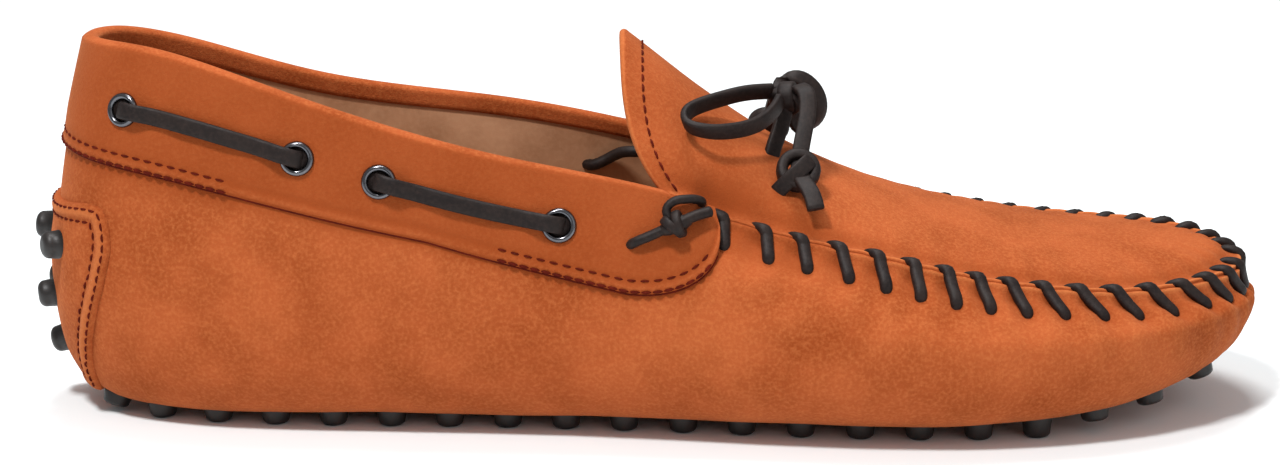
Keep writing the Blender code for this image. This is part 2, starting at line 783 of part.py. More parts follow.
def make_heel(last, suede, rubber):
    """The heel patch, raised over a small rubber plate, and the plate with its studs."""
    up = np.array([row.up for row in PATCH])[:, None]
    half = np.array([row.round for row in PATCH])[:, None]
    across = np.linspace(-1, 1, PATCH_ACROSS + 1)[None, :]
    share = np.linspace(0, 1, len(PATCH))[:, None]
    inside = np.minimum((1 - abs(across)) / PATCH_BORDER, np.minimum(share, 1 - share) / PATCH_HEM)
    inside = np.clip(inside, 0, 1)
    low = GAP + inside * (PATCH_PLATE + GAP)
    places = (across * half, up + 0 * across)
    points, normals = last.point(*places), last.normal(*places)
    patch = sheet_between("heel_patch", points, low, low + PATCH_THICKNESS, normals, suede)
    plate_across = np.linspace(-1, 1, PLATE_COLUMNS + 1)[None, :] * PLATE_COLUMNS / PATCH_ACROSS
    plate_up = np.array(PLATE_ROWS)[:, None]
    plate_half = np.interp(plate_up, up[:, 0], half[:, 0])
    places = (plate_across * plate_half, plate_up + 0 * plate_across)
    points, normals = last.point(*places), last.normal(*places)
    flat = np.full(points.shape[:2], GAP)
    plate = sheet_between("heel_studs", points, flat, flat + PATCH_PLATE, normals, rubber)
    outside = 2 * GAP + PATCH_PLATE + PATCH_THICKNESS
    clear = STUD_RADIUS + GAP / math.cos(math.pi / STUD_SIDES)
    bodies, holes = [], []
    for place, out in heel_stud_rows(last):
        reach = (GAP + PATCH_PLATE / 2, outside + STUD_HEIGHT)
        bodies.append((place, out, (STUD_RADIUS, STUD_TIP_RADIUS), reach))
        holes.append((place, out, (clear, clear), (-WALL / 2, outside + WALL)))
    combine(plate, prisms("heel_stud_bodies", bodies, STUD_SIDES), "UNION")
    combine(patch, prisms("heel_stud_holes", holes, STUD_SIDES), "DIFFERENCE")


def make_eyelet(name, place, out, metal):
    """A flanged ring with its barrel in the band, turned from a profile."""
    side = np.cross(out, (0.0, 0.0, 1.0))
    side /= np.linalg.norm(side)
    other = np.cross(out, side)
    crown = (EYELET_RADIUS + EYELET_BORE) / 2
    profile = (
        (EYELET_BORE, GAP - POCKET_DEPTH),
        (EYELET_BORE, GAP + EYELET_RISE * 0.7),
        (crown, GAP + EYELET_RISE),
        (EYELET_RADIUS, GAP),
        (EYELET_BARREL, GAP),
        (EYELET_BARREL, GAP - POCKET_DEPTH),
    )
    points, faces = [], []
    many = len(profile)
    for k in range(EYELET_SIDES):
        angle = 2 * math.pi * k / EYELET_SIDES
        way = math.cos(angle) * side + math.sin(angle) * other
        for radius, height in profile:
            points.append(place + way * radius + out * height)
        for i in range(many):
            a, b = k * many + i, k * many + (i + 1) % many
            c, d = ((j + many) % (many * EYELET_SIDES) for j in (b, a))
            faces.append((a, b, c, d))
    return solid(name, points, faces, metal)


def strap(name, centres, across, width, thickness, leather):
    """A flat strap along centres. across is the way of its broad side, one for each centre."""
    points, faces = [], []
    for i, centre in enumerate(centres):
        ahead = centres[min(i + 1, len(centres) - 1)] - centres[max(i - 1, 0)]
        thin = np.cross(across[i], ahead)
        thin /= np.linalg.norm(thin)
        broad = np.cross(ahead, thin)
        broad /= np.linalg.norm(broad)
        for a, b in ((-1, -1), (1, -1), (1, 1), (-1, 1)):
            points.append(centre + broad * a * width / 2 + thin * b * thickness / 2)
        if i:
            for k in range(4):
                m = (k + 1) % 4
                faces.append((4 * i - 4 + k, 4 * i - 4 + m, 4 * i + m, 4 * i + k))
    faces += [(3, 2, 1, 0), tuple(len(points) - 4 + k for k in range(4))]
    return solid(name, points, faces, leather)


def cord(name, points, radius, leather):
    """A round cord with closed ends."""
    curve = bpy.data.curves.new(name, "CURVE")
    curve.dimensions = "3D"
    curve.bevel_depth = radius
    curve.bevel_resolution = 2
    curve.use_fill_caps = True
    spline = curve.splines.new("POLY")
    spline.points.add(len(points) - 1)
    for spot, place in zip(spline.points, points):
        spot.co = (*place, 1.0)
    return new_object(name, curve, leather)


def knot(name, centre, radii, out, leather):
    """A rounded knot, its third radius along out."""
    mesh = bpy.data.meshes.new(name)
    shape = bmesh.new()
    bmesh.ops.create_icosphere(shape, subdivisions=2, radius=1.0)
    turn = Vector(out).to_track_quat("Z", "X").to_matrix().to_4x4()
    place = Matrix.Translation(centre) @ turn @ Matrix.Diagonal((*radii, 1.0))
    bmesh.ops.transform(shape, matrix=place, verts=shape.verts)
    shape.to_mesh(mesh)
    shape.free()
    return new_object(name, mesh, leather)


def make_lace_bar(name, last, start, end, side, leather):
    """The flat lace between two eyelets, turned down into each."""
    around = [start.round, end.round]
    if side > 0:
        around = [1 - start.round, 1 - end.round]
    ends = [on_band(last, start, side)[0], on_band(last, end, side)[0]]
    run = float(np.linalg.norm(ends[1] - ends[0]))
    inside = EYELET_BORE - LACE_THICKNESS / 2 - GAP
    over = GAP + EYELET_RISE + GAP + LACE_THICKNESS / 2
    rest = GAP + LACE_THICKNESS * 0.6
    dive = (
        (inside * 0.2, GAP - POCKET_DEPTH + LACE_THICKNESS * 0.2),
        (inside * 0.2, over - LACE_THICKNESS),
        (inside * 0.6, over - LACE_THICKNESS * 0.35),
        (inside * 1.8, over),
        (EYELET_RADIUS, over + GAP),
        (2 * EYELET_RADIUS, rest + LACE_THICKNESS / 2),
    )
    route = list(dive)
    for share in (0.38, 0.5, 0.62):
        route.append((run * share, rest + LACE_THICKNESS * 0.2))
    route += [(run - far, height) for far, height in reversed(dive)]
    centres, outs = [], []
    for far, height in route:
        share = far / run
        place = around[0] + (around[1] - around[0]) * share
        up = start.up + (end.up - start.up) * share
        out = last.normal(place, up)
        centres.append(last.point(place, up) + out * (BAND_STEP + height))
        outs.append(out)
    across = np.cross(outs, ends[1] - ends[0])
    return strap(name, np.array(centres), across, LACE_WIDTH, LACE_THICKNESS, leather)


def make_side_lace(last, metal, leather):
    for side, word in ((-1, "outer"), (1, "inner")):
        for i, eyelet in enumerate(EYELETS, start=1):
            place, out = on_band(last, eyelet, side)
            make_eyelet(f"eyelet_{word}_{i}", place, out, metal)
        rear, front = f"lace_bar_{word}_rear", f"lace_bar_{word}_front"
        make_lace_bar(rear, last, EYELETS[0], EYELETS[1], side, leather)
        make_lace_bar(front, last, EYELETS[2], EYELETS[3], side, leather)


def make_corner_laces(last, leather):
    """On each side: the knotted cord at the tongue's corner, and the cord that shows inside."""
    for side, word in ((-1, "outer"), (1, "inner")):
        for name, route, radius in (
            ("corner_lace", CORNER_LACE, CORD_RADIUS),
            ("corner_arc", CORNER_ARC, CORD_RADIUS),
            ("corner_tail", CORNER_TAIL, TAIL_RADIUS),
            ("tongue_lace", TONGUE_LACE, CORD_RADIUS),
        ):
            points = [last.over(place, side) for place in route]
            cord(f"{name}_{word}", smooth_route(points, 2 * ROUTE_STEP), radius, leather)
        around = CORNER_KNOT.round if side < 0 else 1 - CORNER_KNOT.round
        out = last.normal(around, CORNER_KNOT.up)
        centre = last.over(CORNER_KNOT, side)
        knot(f"corner_knot_{word}", centre, CORNER_KNOT_RADII, out, leather)


def make_bow(leather):
    """The bow's knot, its two loops, and its two ends, each with a knot and a short tail."""
    knot("bow_knot", *BOW_KNOT, leather)
    for word, end_knot in END_KNOTS.items():
        knot(f"end_knot_{word}", *end_knot, leather)
    for piece in BOW_STRAPS:
        centres = smooth_route(piece.route, ROUTE_STEP)
        across = np.tile(piece.across, (len(centres), 1))
        strap(piece.name, centres, across, STRAP_WIDTH, STRAP_THICKNESS, leather)


def clear_scene():
    for thing in list(bpy.data.objects):
        bpy.data.objects.remove(thing, do_unlink=True)


def main():
    clear_scene()
    suede = material("orange_suede", (0.55, 0.12, 0.025), 0.95)
    rubber = material("brown_rubber", (0.020, 0.015, 0.014), 0.6)
    footbed = material("tan_leather", (0.40, 0.22, 0.12), 0.6)
    metal = material("gunmetal", (0.06, 0.06, 0.065), 0.3, 1.0)
    lace = material("dark_leather_lace", (0.035, 0.024, 0.023), 0.55)
    last = Last()
    shell = Shell(last)
    studs = sole_studs(last, shell)
    make_upper(last, shell, studs, suede)
    make_sole(shell, studs, rubber)
    make_insole(shell, footbed)
    make_heel(last, suede, rubber)
    make_side_lace(last, metal, lace)
    make_corner_laces(last, lace)
    make_bow(lace)


main()
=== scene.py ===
"""Looks of a driving moccasin in brushed suede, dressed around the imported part.

Metres, in the part's own frame: +X towards the toe, +Z up, -Y towards the outer side of the
right foot. round is the share of the way round the foot, 0 at the heel and 0.5 at the toe, the
outer side first. up is the share of a section, 0 under the foot and 1 at the top edge.
"""

import logging
import math
from dataclasses import dataclass, field
from enum import Enum
from typing import Dict, Iterable, List, NamedTuple, Optional, Sequence, Tuple

import bmesh
import bpy
import numpy as np
from mathutils import Matrix, Vector
from mathutils.bvhtree import BVHTree
from mathutils.kdtree import KDTree

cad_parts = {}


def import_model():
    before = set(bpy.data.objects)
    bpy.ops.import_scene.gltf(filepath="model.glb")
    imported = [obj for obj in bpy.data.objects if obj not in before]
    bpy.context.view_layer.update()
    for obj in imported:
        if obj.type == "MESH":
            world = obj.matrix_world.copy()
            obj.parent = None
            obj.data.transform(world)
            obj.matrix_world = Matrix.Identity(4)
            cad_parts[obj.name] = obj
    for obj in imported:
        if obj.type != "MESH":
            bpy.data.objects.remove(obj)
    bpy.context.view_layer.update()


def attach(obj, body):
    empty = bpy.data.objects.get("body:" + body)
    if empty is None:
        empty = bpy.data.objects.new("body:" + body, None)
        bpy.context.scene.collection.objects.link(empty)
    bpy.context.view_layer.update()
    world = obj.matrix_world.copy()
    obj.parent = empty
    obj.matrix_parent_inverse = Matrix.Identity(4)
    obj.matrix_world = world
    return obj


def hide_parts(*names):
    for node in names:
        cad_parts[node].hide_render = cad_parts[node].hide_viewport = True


LOG = logging.getLogger("moccasin")
MM = 0.001
PHOTO_WIDTH = 1280

Point3 = Tuple[float, float, float]
Array = np.ndarray
Faces = List[Tuple[int, ...]]
Shape = Tuple[Array, Faces]


class Section(NamedTuple):
    """One section of the last: shares of its length, half ball width and heights."""

    along: float
    width: float
    tread_along: float
    tread: float
    belly: float
    top_along: float
    top_width: float
    of_heel: float
    of_instep: float


class PlugRow(NamedTuple):
    """One row of the plug: how far forward, its crown and its lean to the heel, as shares."""

    forward: float
    crown: float
    lean: float


class Place(NamedTuple):
    """A place on the last."""

    round: float
    up: float


class FormPoint(NamedTuple):
    """A point of a cord over the last: its place, and its height over the face in metres."""

    round: float
    up: float
    over: float


class Side(Enum):
    """The two sides of the shoe, with the sign of Y on each."""

    OUTER = -1
    INNER = 1

    @property
    def word(self) -> str:
        """The side's word in the nodes' names."""
        return self.name.lower()

    def turn(self, share: float) -> float:
        """The place round the foot of a share counted from the heel on this side."""
        return share if self is Side.OUTER else 1.0 - share


HEEL = Section(0.000, 0.00, 0.021, 0.00, 0.347, 0.030, 0.00, 0.998, 0.0)
OUTER_SIDE = (
    Section(0.028, 0.42, 0.043, 0.29, 0.325, 0.048, 0.28, 1.005, 0.0),
    Section(0.100, 0.62, 0.107, 0.47, 0.285, 0.100, 0.47, 0.995, 0.0),
    Section(0.220, 0.71, 0.225, 0.56, 0.250, 0.210, 0.60, 0.885, 0.0),
    Section(0.370, 0.77, 0.370, 0.60, 0.230, 0.360, 0.66, 0.370, 0.363),
    Section(0.530, 0.89, 0.530, 0.70, 0.210, 0.510, 0.66, 0.0, 0.622),
    Section(0.670, 0.99, 0.670, 0.80, 0.200, 0.655, 0.68, 0.0, 0.476),
    Section(0.790, 0.95, 0.788, 0.79, 0.200, 0.775, 0.66, 0.0, 0.385),
    Section(0.900, 0.73, 0.890, 0.60, 0.220, 0.885, 0.53, 0.0, 0.342),
    Section(0.967, 0.40, 0.950, 0.31, 0.230, 0.955, 0.30, 0.0, 0.342),
)
TOE = Section(1.000, -0.06, 0.978, -0.05, 0.240, 0.988, -0.06, 0.0, 0.347)
INNER_SIDE = (
    Section(0.028, 0.42, 0.043, 0.29, 0.325, 0.048, 0.28, 0.985, 0.0),
    Section(0.100, 0.61, 0.107, 0.45, 0.295, 0.100, 0.47, 0.933, 0.0),
    Section(0.220, 0.68, 0.225, 0.49, 0.275, 0.210, 0.60, 0.815, 0.0),
    Section(0.370, 0.66, 0.370, 0.46, 0.275, 0.360, 0.64, 0.370, 0.363),
    Section(0.530, 0.78, 0.530, 0.57, 0.230, 0.510, 0.62, 0.0, 0.635),
    Section(0.680, 0.98, 0.680, 0.80, 0.210, 0.660, 0.66, 0.0, 0.507),
    Section(0.790, 1.00, 0.788, 0.83, 0.210, 0.775, 0.70, 0.0, 0.422),
    Section(0.900, 0.84, 0.890, 0.68, 0.220, 0.885, 0.62, 0.0, 0.390),
    Section(0.970, 0.52, 0.950, 0.40, 0.230, 0.955, 0.42, 0.0, 0.380),
)
PLUG = (
    PlugRow(0.00, 0.373, 0.035),
    PlugRow(0.20, 0.171, 0.022),
    PlugRow(0.40, 0.091, 0.010),
    PlugRow(0.60, 0.062, 0.003),
    PlugRow(0.80, 0.041, 0.0),
    PlugRow(0.93, 0.021, 0.0),
    PlugRow(1.00, 0.0, 0.0),
)
BAND_EDGE = (Place(0.0, 0.785), Place(0.165, 0.755), Place(0.235, 0.690))
EYELETS = (Place(0.0550, 0.885), Place(0.1217, 0.878), Place(0.1500, 0.875), Place(0.2133, 0.853))


@dataclass(frozen=True)
class Spline:
    """A smooth curve through values at knots."""

    knots: Array
    values: Array
    slopes: Array

    @classmethod
    def through(
        cls,
        knots: Sequence[float],
        values: Array,
        closed: bool = False,
        start: Optional[Array] = None,
    ) -> "Spline":
        """Solves the curve's slopes.

        Args:
            knots: Places of the values, rising.
            values: One row for each knot.
            closed: Whether the last row repeats the first one smoothly.
            start: The slope at the first knot, where it is known.

        Returns:
            The curve.
        """
        knots = np.asarray(knots, float)
        values = np.asarray(values, float)
        count = len(knots) - 1 if closed else len(knots)
        step = np.diff(knots)
        chord = np.diff(values, axis=0) / step[:, None]
        matrix = np.zeros((count, count))
        right = np.zeros((count, values.shape[1]))
        for i in range(count if closed else count - 1):
            if not closed and i == 0:
                continue
            matrix[i, i - 1] += step[i]
            matrix[i, i] += 2 * (step[i - 1] + step[i])
            matrix[i, (i + 1) % count] += step[i - 1]
            right[i] = 3 * (step[i] * chord[i - 1] + step[i - 1] * chord[i])
        if closed:
            slopes = np.linalg.solve(matrix, right)
            return cls(knots, values, np.vstack([slopes, slopes[:1]]))
        if start is None:
            matrix[0, :2] = 2, 1
            right[0] = 3 * chord[0]
        else:
            matrix[0, 0] = 1
            right[0] = start
        matrix[-1, -2:] = 1, 2
        right[-1] = 3 * chord[-1]
        return cls(knots, values, np.linalg.solve(matrix, right))

    def at(self, place: Array) -> Array:
        """Values of the curve at each place."""
        place = np.asarray(place, float)
        i = np.clip(np.searchsorted(self.knots, place, side="right") - 1, 0, len(self.knots) - 2)
        step = (self.knots[i + 1] - self.knots[i])[..., None]
        t = (place[..., None] - self.knots[i][..., None]) / step
        ends = self.values[i], self.slopes[i], self.values[i + 1], self.slopes[i + 1]
        return cubic(*ends, step, t)


def cubic(start: Array, slope: Array, end: Array, end_slope: Array, step: Array, t: Array) -> Array:
    """Points at the shares t of a cubic between two ends with these slopes."""
    return (
        (2 * t**3 - 3 * t**2 + 1) * start
        + (t**3 - 2 * t**2 + t) * slope * step
        + (3 * t**2 - 2 * t**3) * end
        + (t**3 - t**2) * end_slope * step
    )


def unit(vectors: Array) -> Array:
    """The vectors at length 1."""
    length = np.linalg.norm(vectors, axis=-1, keepdims=True)
    return vectors / np.maximum(length, 1e-12)


def run_of(points: Array) -> Array:
    """How far along the line each of its points is."""
    steps = np.linalg.norm(np.diff(points, axis=0), axis=1)
    return np.concatenate([[0.0], np.cumsum(steps)])


def smooth_step(x: Array) -> Array:
    """0 below 0, 1 above 1 and a soft rise between them."""
    x = np.clip(x, 0.0, 1.0)
    return x * x * (3 - 2 * x)


def hump(distance: Array, width: float) -> Array:
    """A soft round rise, 1 in the middle, width metres to each side."""
    return np.exp(-((distance / width) ** 2))


@dataclass
class Last:
    """The shoe's outer face: rings round the foot, joined by one smooth section at each place."""

    length: float = 0.2840
    ball_width: float = 0.1000
    heel_height: float = 0.0838
    instep_height: float = 0.0850
    heel_back: float = -0.0251
    heel_rise: float = 0.0034
    toe_spring: float = 0.0096
    tread_rise: float = 0.0010
    stud_height: float = 0.0042
    spine: Tuple[float, float] = (0.10, 0.90)
    heel_flat: float = 0.10
    flat_end: float = 0.66
    spring_power: float = 2.6
    knots: Tuple[float, ...] = (0.0, 0.30, 0.52, 0.76, 1.0)
    shoulder: Tuple[float, float] = (0.28, 0.52)
    throat_along: float = 0.508
    lean_power: int = 6
    band_end: float = 0.2737
    band_power: float = 2.2

    def __post_init__(self) -> None:
        """Lays the rings."""
        sides = [(HEEL, -1), *((row, -1) for row in OUTER_SIDE), (TOE, -1)]
        sides += [(row, 1) for row in reversed(INNER_SIDE)] + [(HEEL, -1)]
        half = self.ball_width / 2
        tread, belly, top = [], [], []
        for row, side in sides:
            low = float(self.underside(row.tread_along)) + self.tread_rise
            tread.append((self.from_heel(row.tread_along), side * row.tread * half, low))
            middle = self.stud_height + row.belly * self.heel_height
            belly.append((self.from_heel(row.along), side * row.width * half, middle))
            high = self.stud_height + row.of_heel * self.heel_height
            high += row.of_instep * self.instep_height
            top.append((self.from_heel(row.top_along), side * row.top_width * half, high))
        belly, top = np.array(belly), np.array(top)
        lean, rise = self.shoulder
        shoulder = belly + (top - belly) * lean
        shoulder[:, 2] = belly[:, 2] + (top[:, 2] - belly[:, 2]) * rise
        run = run_of(belly)
        toe = len(OUTER_SIDE) + 1
        front = 0.5 * run[: toe + 1] / run[toe]
        back = 0.5 + 0.5 * (run[toe + 1 :] - run[toe]) / (run[-1] - run[toe])
        knots = np.concatenate([front, back])
        rings = (np.array(tread), belly, shoulder, top)
        self.rings = [Spline.through(knots, ring, closed=True) for ring in rings]
        rows = np.array([(row.crown, row.lean) for row in PLUG])
        self.crown = Spline.through([row.forward for row in PLUG], rows)
        self.throats = (self.throat(Side.OUTER), self.throat(Side.INNER))

    def underside(self, along: float) -> float:
        """Height of the suede's underside at a share of the length."""
        heel = np.clip((self.heel_flat - along) / self.heel_flat, 0, None) ** 2
        toe = np.clip((along - self.flat_end) / (1 - self.flat_end), 0, None) ** self.spring_power
        return self.stud_height + self.heel_rise * heel + self.toe_spring * toe

    def from_heel(self, along: float) -> float:
        """X at a share of the length."""
        return self.heel_back + along * self.length

    def spine_point(self, around: Array) -> Array:
        """The line under the foot in which both sides end."""
        share = (1 - np.cos(2 * math.pi * np.asarray(around, float))) / 2
        along = self.spine[0] + (self.spine[1] - self.spine[0]) * share
        return np.stack([self.from_heel(along), 0 * along, self.underside(along)], axis=-1)

    def point(self, around: Array, up: Array) -> Array:
        """Points of the face; around and up are arrays of one shape."""
        around, up = np.broadcast_arrays(np.asarray(around, float), np.asarray(up, float))
        shape = around.shape
        around, up = around.ravel(), up.ravel()
        knots = np.array(self.knots)
        rings = [ring.at(np.mod(around, 1.0)) for ring in self.rings]
        values = np.array([self.spine_point(around), *rings])
        level = (values[1] - values[0]) / (knots[1] - knots[0])
        level[:, 2] = 0.0
        flat = values.reshape(len(knots), -1)
        slopes = Spline.through(knots, flat, start=level.ravel()).slopes.reshape(values.shape)
        i = np.clip(np.searchsorted(knots, up, side="right") - 1, 0, len(knots) - 2)
        pick = np.arange(len(up))
        step = (knots[i + 1] - knots[i])[:, None]
        t = (up[:, None] - knots[i][:, None]) / step
        ends = values[i, pick], slopes[i, pick], values[i + 1, pick], slopes[i + 1, pick]
        return cubic(*ends, step, t).reshape(*shape, 3)

    def normal(self, around: Array, up: Array, reach: float = 0.002) -> Array:
        """Unit vectors out of the face."""
        around, up = np.asarray(around, float), np.asarray(up, float)
        forward = self.point(around + reach, up) - self.point(around - reach, up)
        rise = self.point(around, up + reach) - self.point(around, up - reach)
        return unit(np.cross(forward, rise))

    def over(self, place: FormPoint, side: Side) -> Array:
        """The point at a height over the face, on one side."""
        around = side.turn(place.round)
        return self.point(around, place.up) + self.normal(around, place.up) * place.over

    def throat(self, side: Side) -> float:
        """Place round the foot at which the top edge reaches the tongue, on one side."""
        tries = np.linspace(0.15, 0.35, 401)
        around = tries if side is Side.OUTER else 1 - tries
        x = self.rings[3].at(around)[:, 0]
        return float(np.interp(self.from_heel(self.throat_along), x, around))

    def seam(self, forward: Array, side: Side) -> Array:
        """Place round the foot of the plug seam, forward counted from the tongue to the toe."""
        throat = self.throats[0 if side is Side.OUTER else 1]
        return throat + (0.5 - throat) * np.asarray(forward, float)

    def plug(self, forward: Array, across: Array) -> Array:
        """Points of the plug; across runs from -1 on the outer seam to 1 on the inner one."""
        forward, across = np.broadcast_arrays(np.asarray(forward, float), np.asarray(across, float))
        outer = self.point(self.seam(forward, Side.OUTER), 1.0)
        inner = self.point(self.seam(forward, Side.INNER), 1.0)
        share = across[..., None]
        points = outer * (1 - share) / 2 + inner * (1 + share) / 2
        form = self.crown.at(forward)
        points[..., 0] -= form[..., 1] * self.length * (1 - across**self.lean_power)
        points[..., 2] += form[..., 0] * self.instep_height * (1 - across**2)
        return points

    def plug_normal(self, forward: Array, across: Array, reach: float = 0.004) -> Array:
        """Unit vectors out of the plug."""
        forward = np.clip(np.asarray(forward, float), reach, 1 - reach)
        across = np.clip(np.asarray(across, float), -1 + reach, 1 - reach)
        ahead = self.plug(forward + reach, across) - self.plug(forward - reach, across)
        aside = self.plug(forward, across + reach) - self.plug(forward, across - reach)
        return unit(np.cross(ahead, aside))

    def band_edge(self, around: Array) -> Array:
        """Height share of the collar band's lower edge, 1 in front of the band."""
        turn = np.minimum(np.mod(around, 1.0), 1 - np.mod(around, 1.0))
        last = BAND_EDGE[-1]
        straight = np.interp(turn, [p.round for p in BAND_EDGE], [p.up for p in BAND_EDGE])
        reach = np.clip((turn - last.round) / (self.band_end - last.round), 0, 1)
        drop = (1 - reach**self.band_power) ** (1 / self.band_power)
        return np.where(turn <= last.round, straight, 1 - (1 - last.up) * drop)


def linear(code: str) -> Tuple[float, float, float, float]:
    """An sRGB hex colour as the linear values that a socket takes."""
    parts = [int(code[i : i + 2], 16) / 255 for i in (1, 3, 5)]
    values = [c / 12.92 if c <= 0.04045 else ((c + 0.055) / 1.055) ** 2.4 for c in parts]
    return (values[0], values[1], values[2], 1.0)


def add_node(tree: bpy.types.NodeTree, kind: str, inputs: Dict, **settings) -> bpy.types.Node:
    """Adds a shader node.

    Args:
        tree: The material's node tree.
        kind: The node's type.
        inputs: Values, or sockets of other nodes, by the name or number of the input.
        settings: The node's own properties.

    Returns:
        The node.
    """
    node = tree.nodes.new(kind)
    for name, value in settings.items():
        setattr(node, name, value)
    for name, value in inputs.items():
        if isinstance(value, bpy.types.NodeSocket):
            tree.links.new(value, node.inputs[name])
        else:
            node.inputs[name].default_value = value
    return node


def per_metre(size_mm: float) -> float:
    """The scale of a pattern on Object coordinates whose features are this many mm across."""
    return 1.0 / (size_mm * MM)


@dataclass(frozen=True)
class Finish:
    """A finish with mottled colour and a two-sized bump, worked out from real sizes."""

    name: str
    base: str
    dark: str
    light: str
    patch_mm: float
    fleck_mm: float
    grain_mm: float
    grain_depth_mm: float
    fleck_depth_mm: float
    roughness: float
    specular: float = 0.5
    metallic: float = 0.0
    coat: float = 0.0
    coat_roughness: float = 0.3
    sheen: float = 0.0
    sheen_roughness: float = 0.5
    sheen_tint: str = "#FFFFFF"
    fleck_share: float = 0.35
    patch_spread: Tuple[float, float] = (0.35, 0.68)
    shows_wear_and_shade: bool = False

    def build(self) -> bpy.types.Material:
        """Makes the material."""
        made = bpy.data.materials.new(self.name)
        made.use_nodes = True
        tree = made.node_tree
        shader = tree.nodes["Principled BSDF"]
        place = add_node(tree, "ShaderNodeTexCoord", {}).outputs["Object"]
        patch = self.noise(tree, place, self.patch_mm, 5.0)
        fleck = self.noise(tree, place, self.fleck_mm, 4.0)
        grain = self.noise(tree, place, self.grain_mm, 2.0)
        low, high = self.patch_spread
        ramp = add_node(tree, "ShaderNodeMapRange", {0: patch, 1: low, 2: high})
        tone = self.mix(tree, ramp.outputs[0], linear(self.dark), linear(self.base))
        levels = {0: fleck, 1: 0.42, 2: 0.75, 4: self.fleck_share}
        spot = add_node(tree, "ShaderNodeMapRange", levels)
        tone = self.mix(tree, spot.outputs[0], tone, linear(self.light))
        # The point attribute carries rubbed nap together with painted light and shade: above 0.5
        # the colour mixes towards the light one, below 0.5 towards the dark one.
        if self.shows_wear_and_shade:
            rub = add_node(tree, "ShaderNodeAttribute", {}, attribute_name="rub").outputs["Fac"]
            lift = add_node(tree, "ShaderNodeMapRange", {0: rub, 1: 0.5, 2: 1.0})
            sink = add_node(tree, "ShaderNodeMapRange", {0: rub, 1: 0.5, 2: 0.0})
            tone = self.mix(tree, lift.outputs[0], tone, linear(self.light))
            tone = self.mix(tree, sink.outputs[0], tone, linear(self.dark))
        tree.links.new(tone, shader.inputs["Base Color"])
        bump = add_node(
            tree,
            "ShaderNodeBump",
            {"Strength": 1.0, "Distance": self.fleck_depth_mm * MM, "Height": fleck},
        )
        bump = add_node(
            tree,
            "ShaderNodeBump",
            {
                "Strength": 1.0,
                "Distance": self.grain_depth_mm * MM,
                "Height": grain,
                "Normal": bump.outputs[0],
            },
        )
        tree.links.new(bump.outputs[0], shader.inputs["Normal"])
        shader.inputs["Roughness"].default_value = self.roughness
        shader.inputs["Specular IOR Level"].default_value = self.specular
        shader.inputs["Metallic"].default_value = self.metallic
        shader.inputs["Coat Weight"].default_value = self.coat
        shader.inputs["Coat Roughness"].default_value = self.coat_roughness
        shader.inputs["Sheen Weight"].default_value = self.sheen
        shader.inputs["Sheen Roughness"].default_value = self.sheen_roughness
        shader.inputs["Sheen Tint"].default_value = linear(self.sheen_tint)
        return made

    @staticmethod
    def noise(
        tree: bpy.types.NodeTree, place: bpy.types.NodeSocket, size_mm: float, detail: float
    ) -> bpy.types.NodeSocket:
        """A noise whose features are this many mm across."""
        inputs = {"Vector": place, "Scale": per_metre(size_mm), "Detail": detail}
        return add_node(tree, "ShaderNodeTexNoise", inputs).outputs[0]

    @staticmethod
    def mix(tree: bpy.types.NodeTree, share, first, second) -> bpy.types.NodeSocket:
        """A colour between two others."""
        inputs = {0: share, 6: first, 7: second}
        return add_node(tree, "ShaderNodeMix", inputs, data_type="RGBA").outputs[2]


# Brushed calf suede: a matt, velvety orange with paler rubbed ridges and a fine short nap
SUEDE = Finish(
    "brushed_orange_suede", "#A85229", "#8F4019", "#C4713F", 17.0, 0.8, 0.34, 0.13, 0.08,
    0.92, specular=0.12, sheen=0.22, sheen_roughness=0.45, sheen_tint="#F2A36B", shows_wear_and_shade=True,
    fleck_share=0.46, patch_spread=(0.31, 0.62),
)
# Vegetable-tanned calf lining: smooth warm tan with a faint satin
LINING = Finish(
    "tan_calf_lining", "#C2906C", "#A67654", "#D6AA84", 14.0, 1.2, 0.40, 0.03, 0.02,
    0.55, specular=0.4, fleck_share=0.2,
)
# Pressed leather footbed: a little darker and smoother than the lining
FOOTBED = Finish(
    "pressed_leather_footbed", "#9C6F4E", "#7F563A", "#B48A66", 16.0, 1.5, 0.50, 0.03, 0.02,
    0.5, specular=0.4, fleck_share=0.2,
)
# Moulded nitrile rubber: almost black brown, a dull sheen from the mould
RUBBER = Finish(
    "moulded_dark_rubber", "#1E1917", "#171312", "#2B2523", 8.0, 1.0, 0.30, 0.02, 0.01,
    0.48, specular=0.45, fleck_share=0.25,
)
# Oiled leather lace: dark brown with a soft gloss on its rounded edges
LACE = Finish(
    "oiled_leather_lace", "#221916", "#181110", "#382B27", 6.0, 0.9, 0.25, 0.05, 0.03,
    0.55, specular=0.2, fleck_share=0.4,
)
# Gunmetal-plated brass: dark, mirror-like, with very fine handling marks
GUNMETAL = Finish(
    "plated_gunmetal", "#6A6A6E", "#5B5B60", "#7C7C80", 5.0, 0.8, 0.20, 0.004, 0.002,
    0.22, metallic=1.0, fleck_share=0.2,
)
# Waxed polyester thread in dark rust
THREAD = Finish(
    "waxed_rust_thread", "#5C1506", "#470E04", "#6E200C", 3.0, 0.6, 0.20, 0.02, 0.01,
    0.8, specular=0.1,
)


@dataclass
class Materials:
    """Every finish, built once."""

    suede: bpy.types.Material = field(default_factory=SUEDE.build)
    lining: bpy.types.Material = field(default_factory=LINING.build)
    footbed: bpy.types.Material = field(default_factory=FOOTBED.build)
    rubber: bpy.types.Material = field(default_factory=RUBBER.build)
    lace: bpy.types.Material = field(default_factory=LACE.build)
    metal: bpy.types.Material = field(default_factory=GUNMETAL.build)
    thread: bpy.types.Material = field(default_factory=THREAD.build)


def joined(shapes: Iterable[Shape]) -> Shape:
    """Several shapes as one list of points and faces."""
    points, faces, start = [], [], 0
    for some, these in shapes:
        points.append(np.asarray(some, float))
        faces += [tuple(i + start for i in face) for face in these]
        start += len(some)
    return np.vstack(points), faces


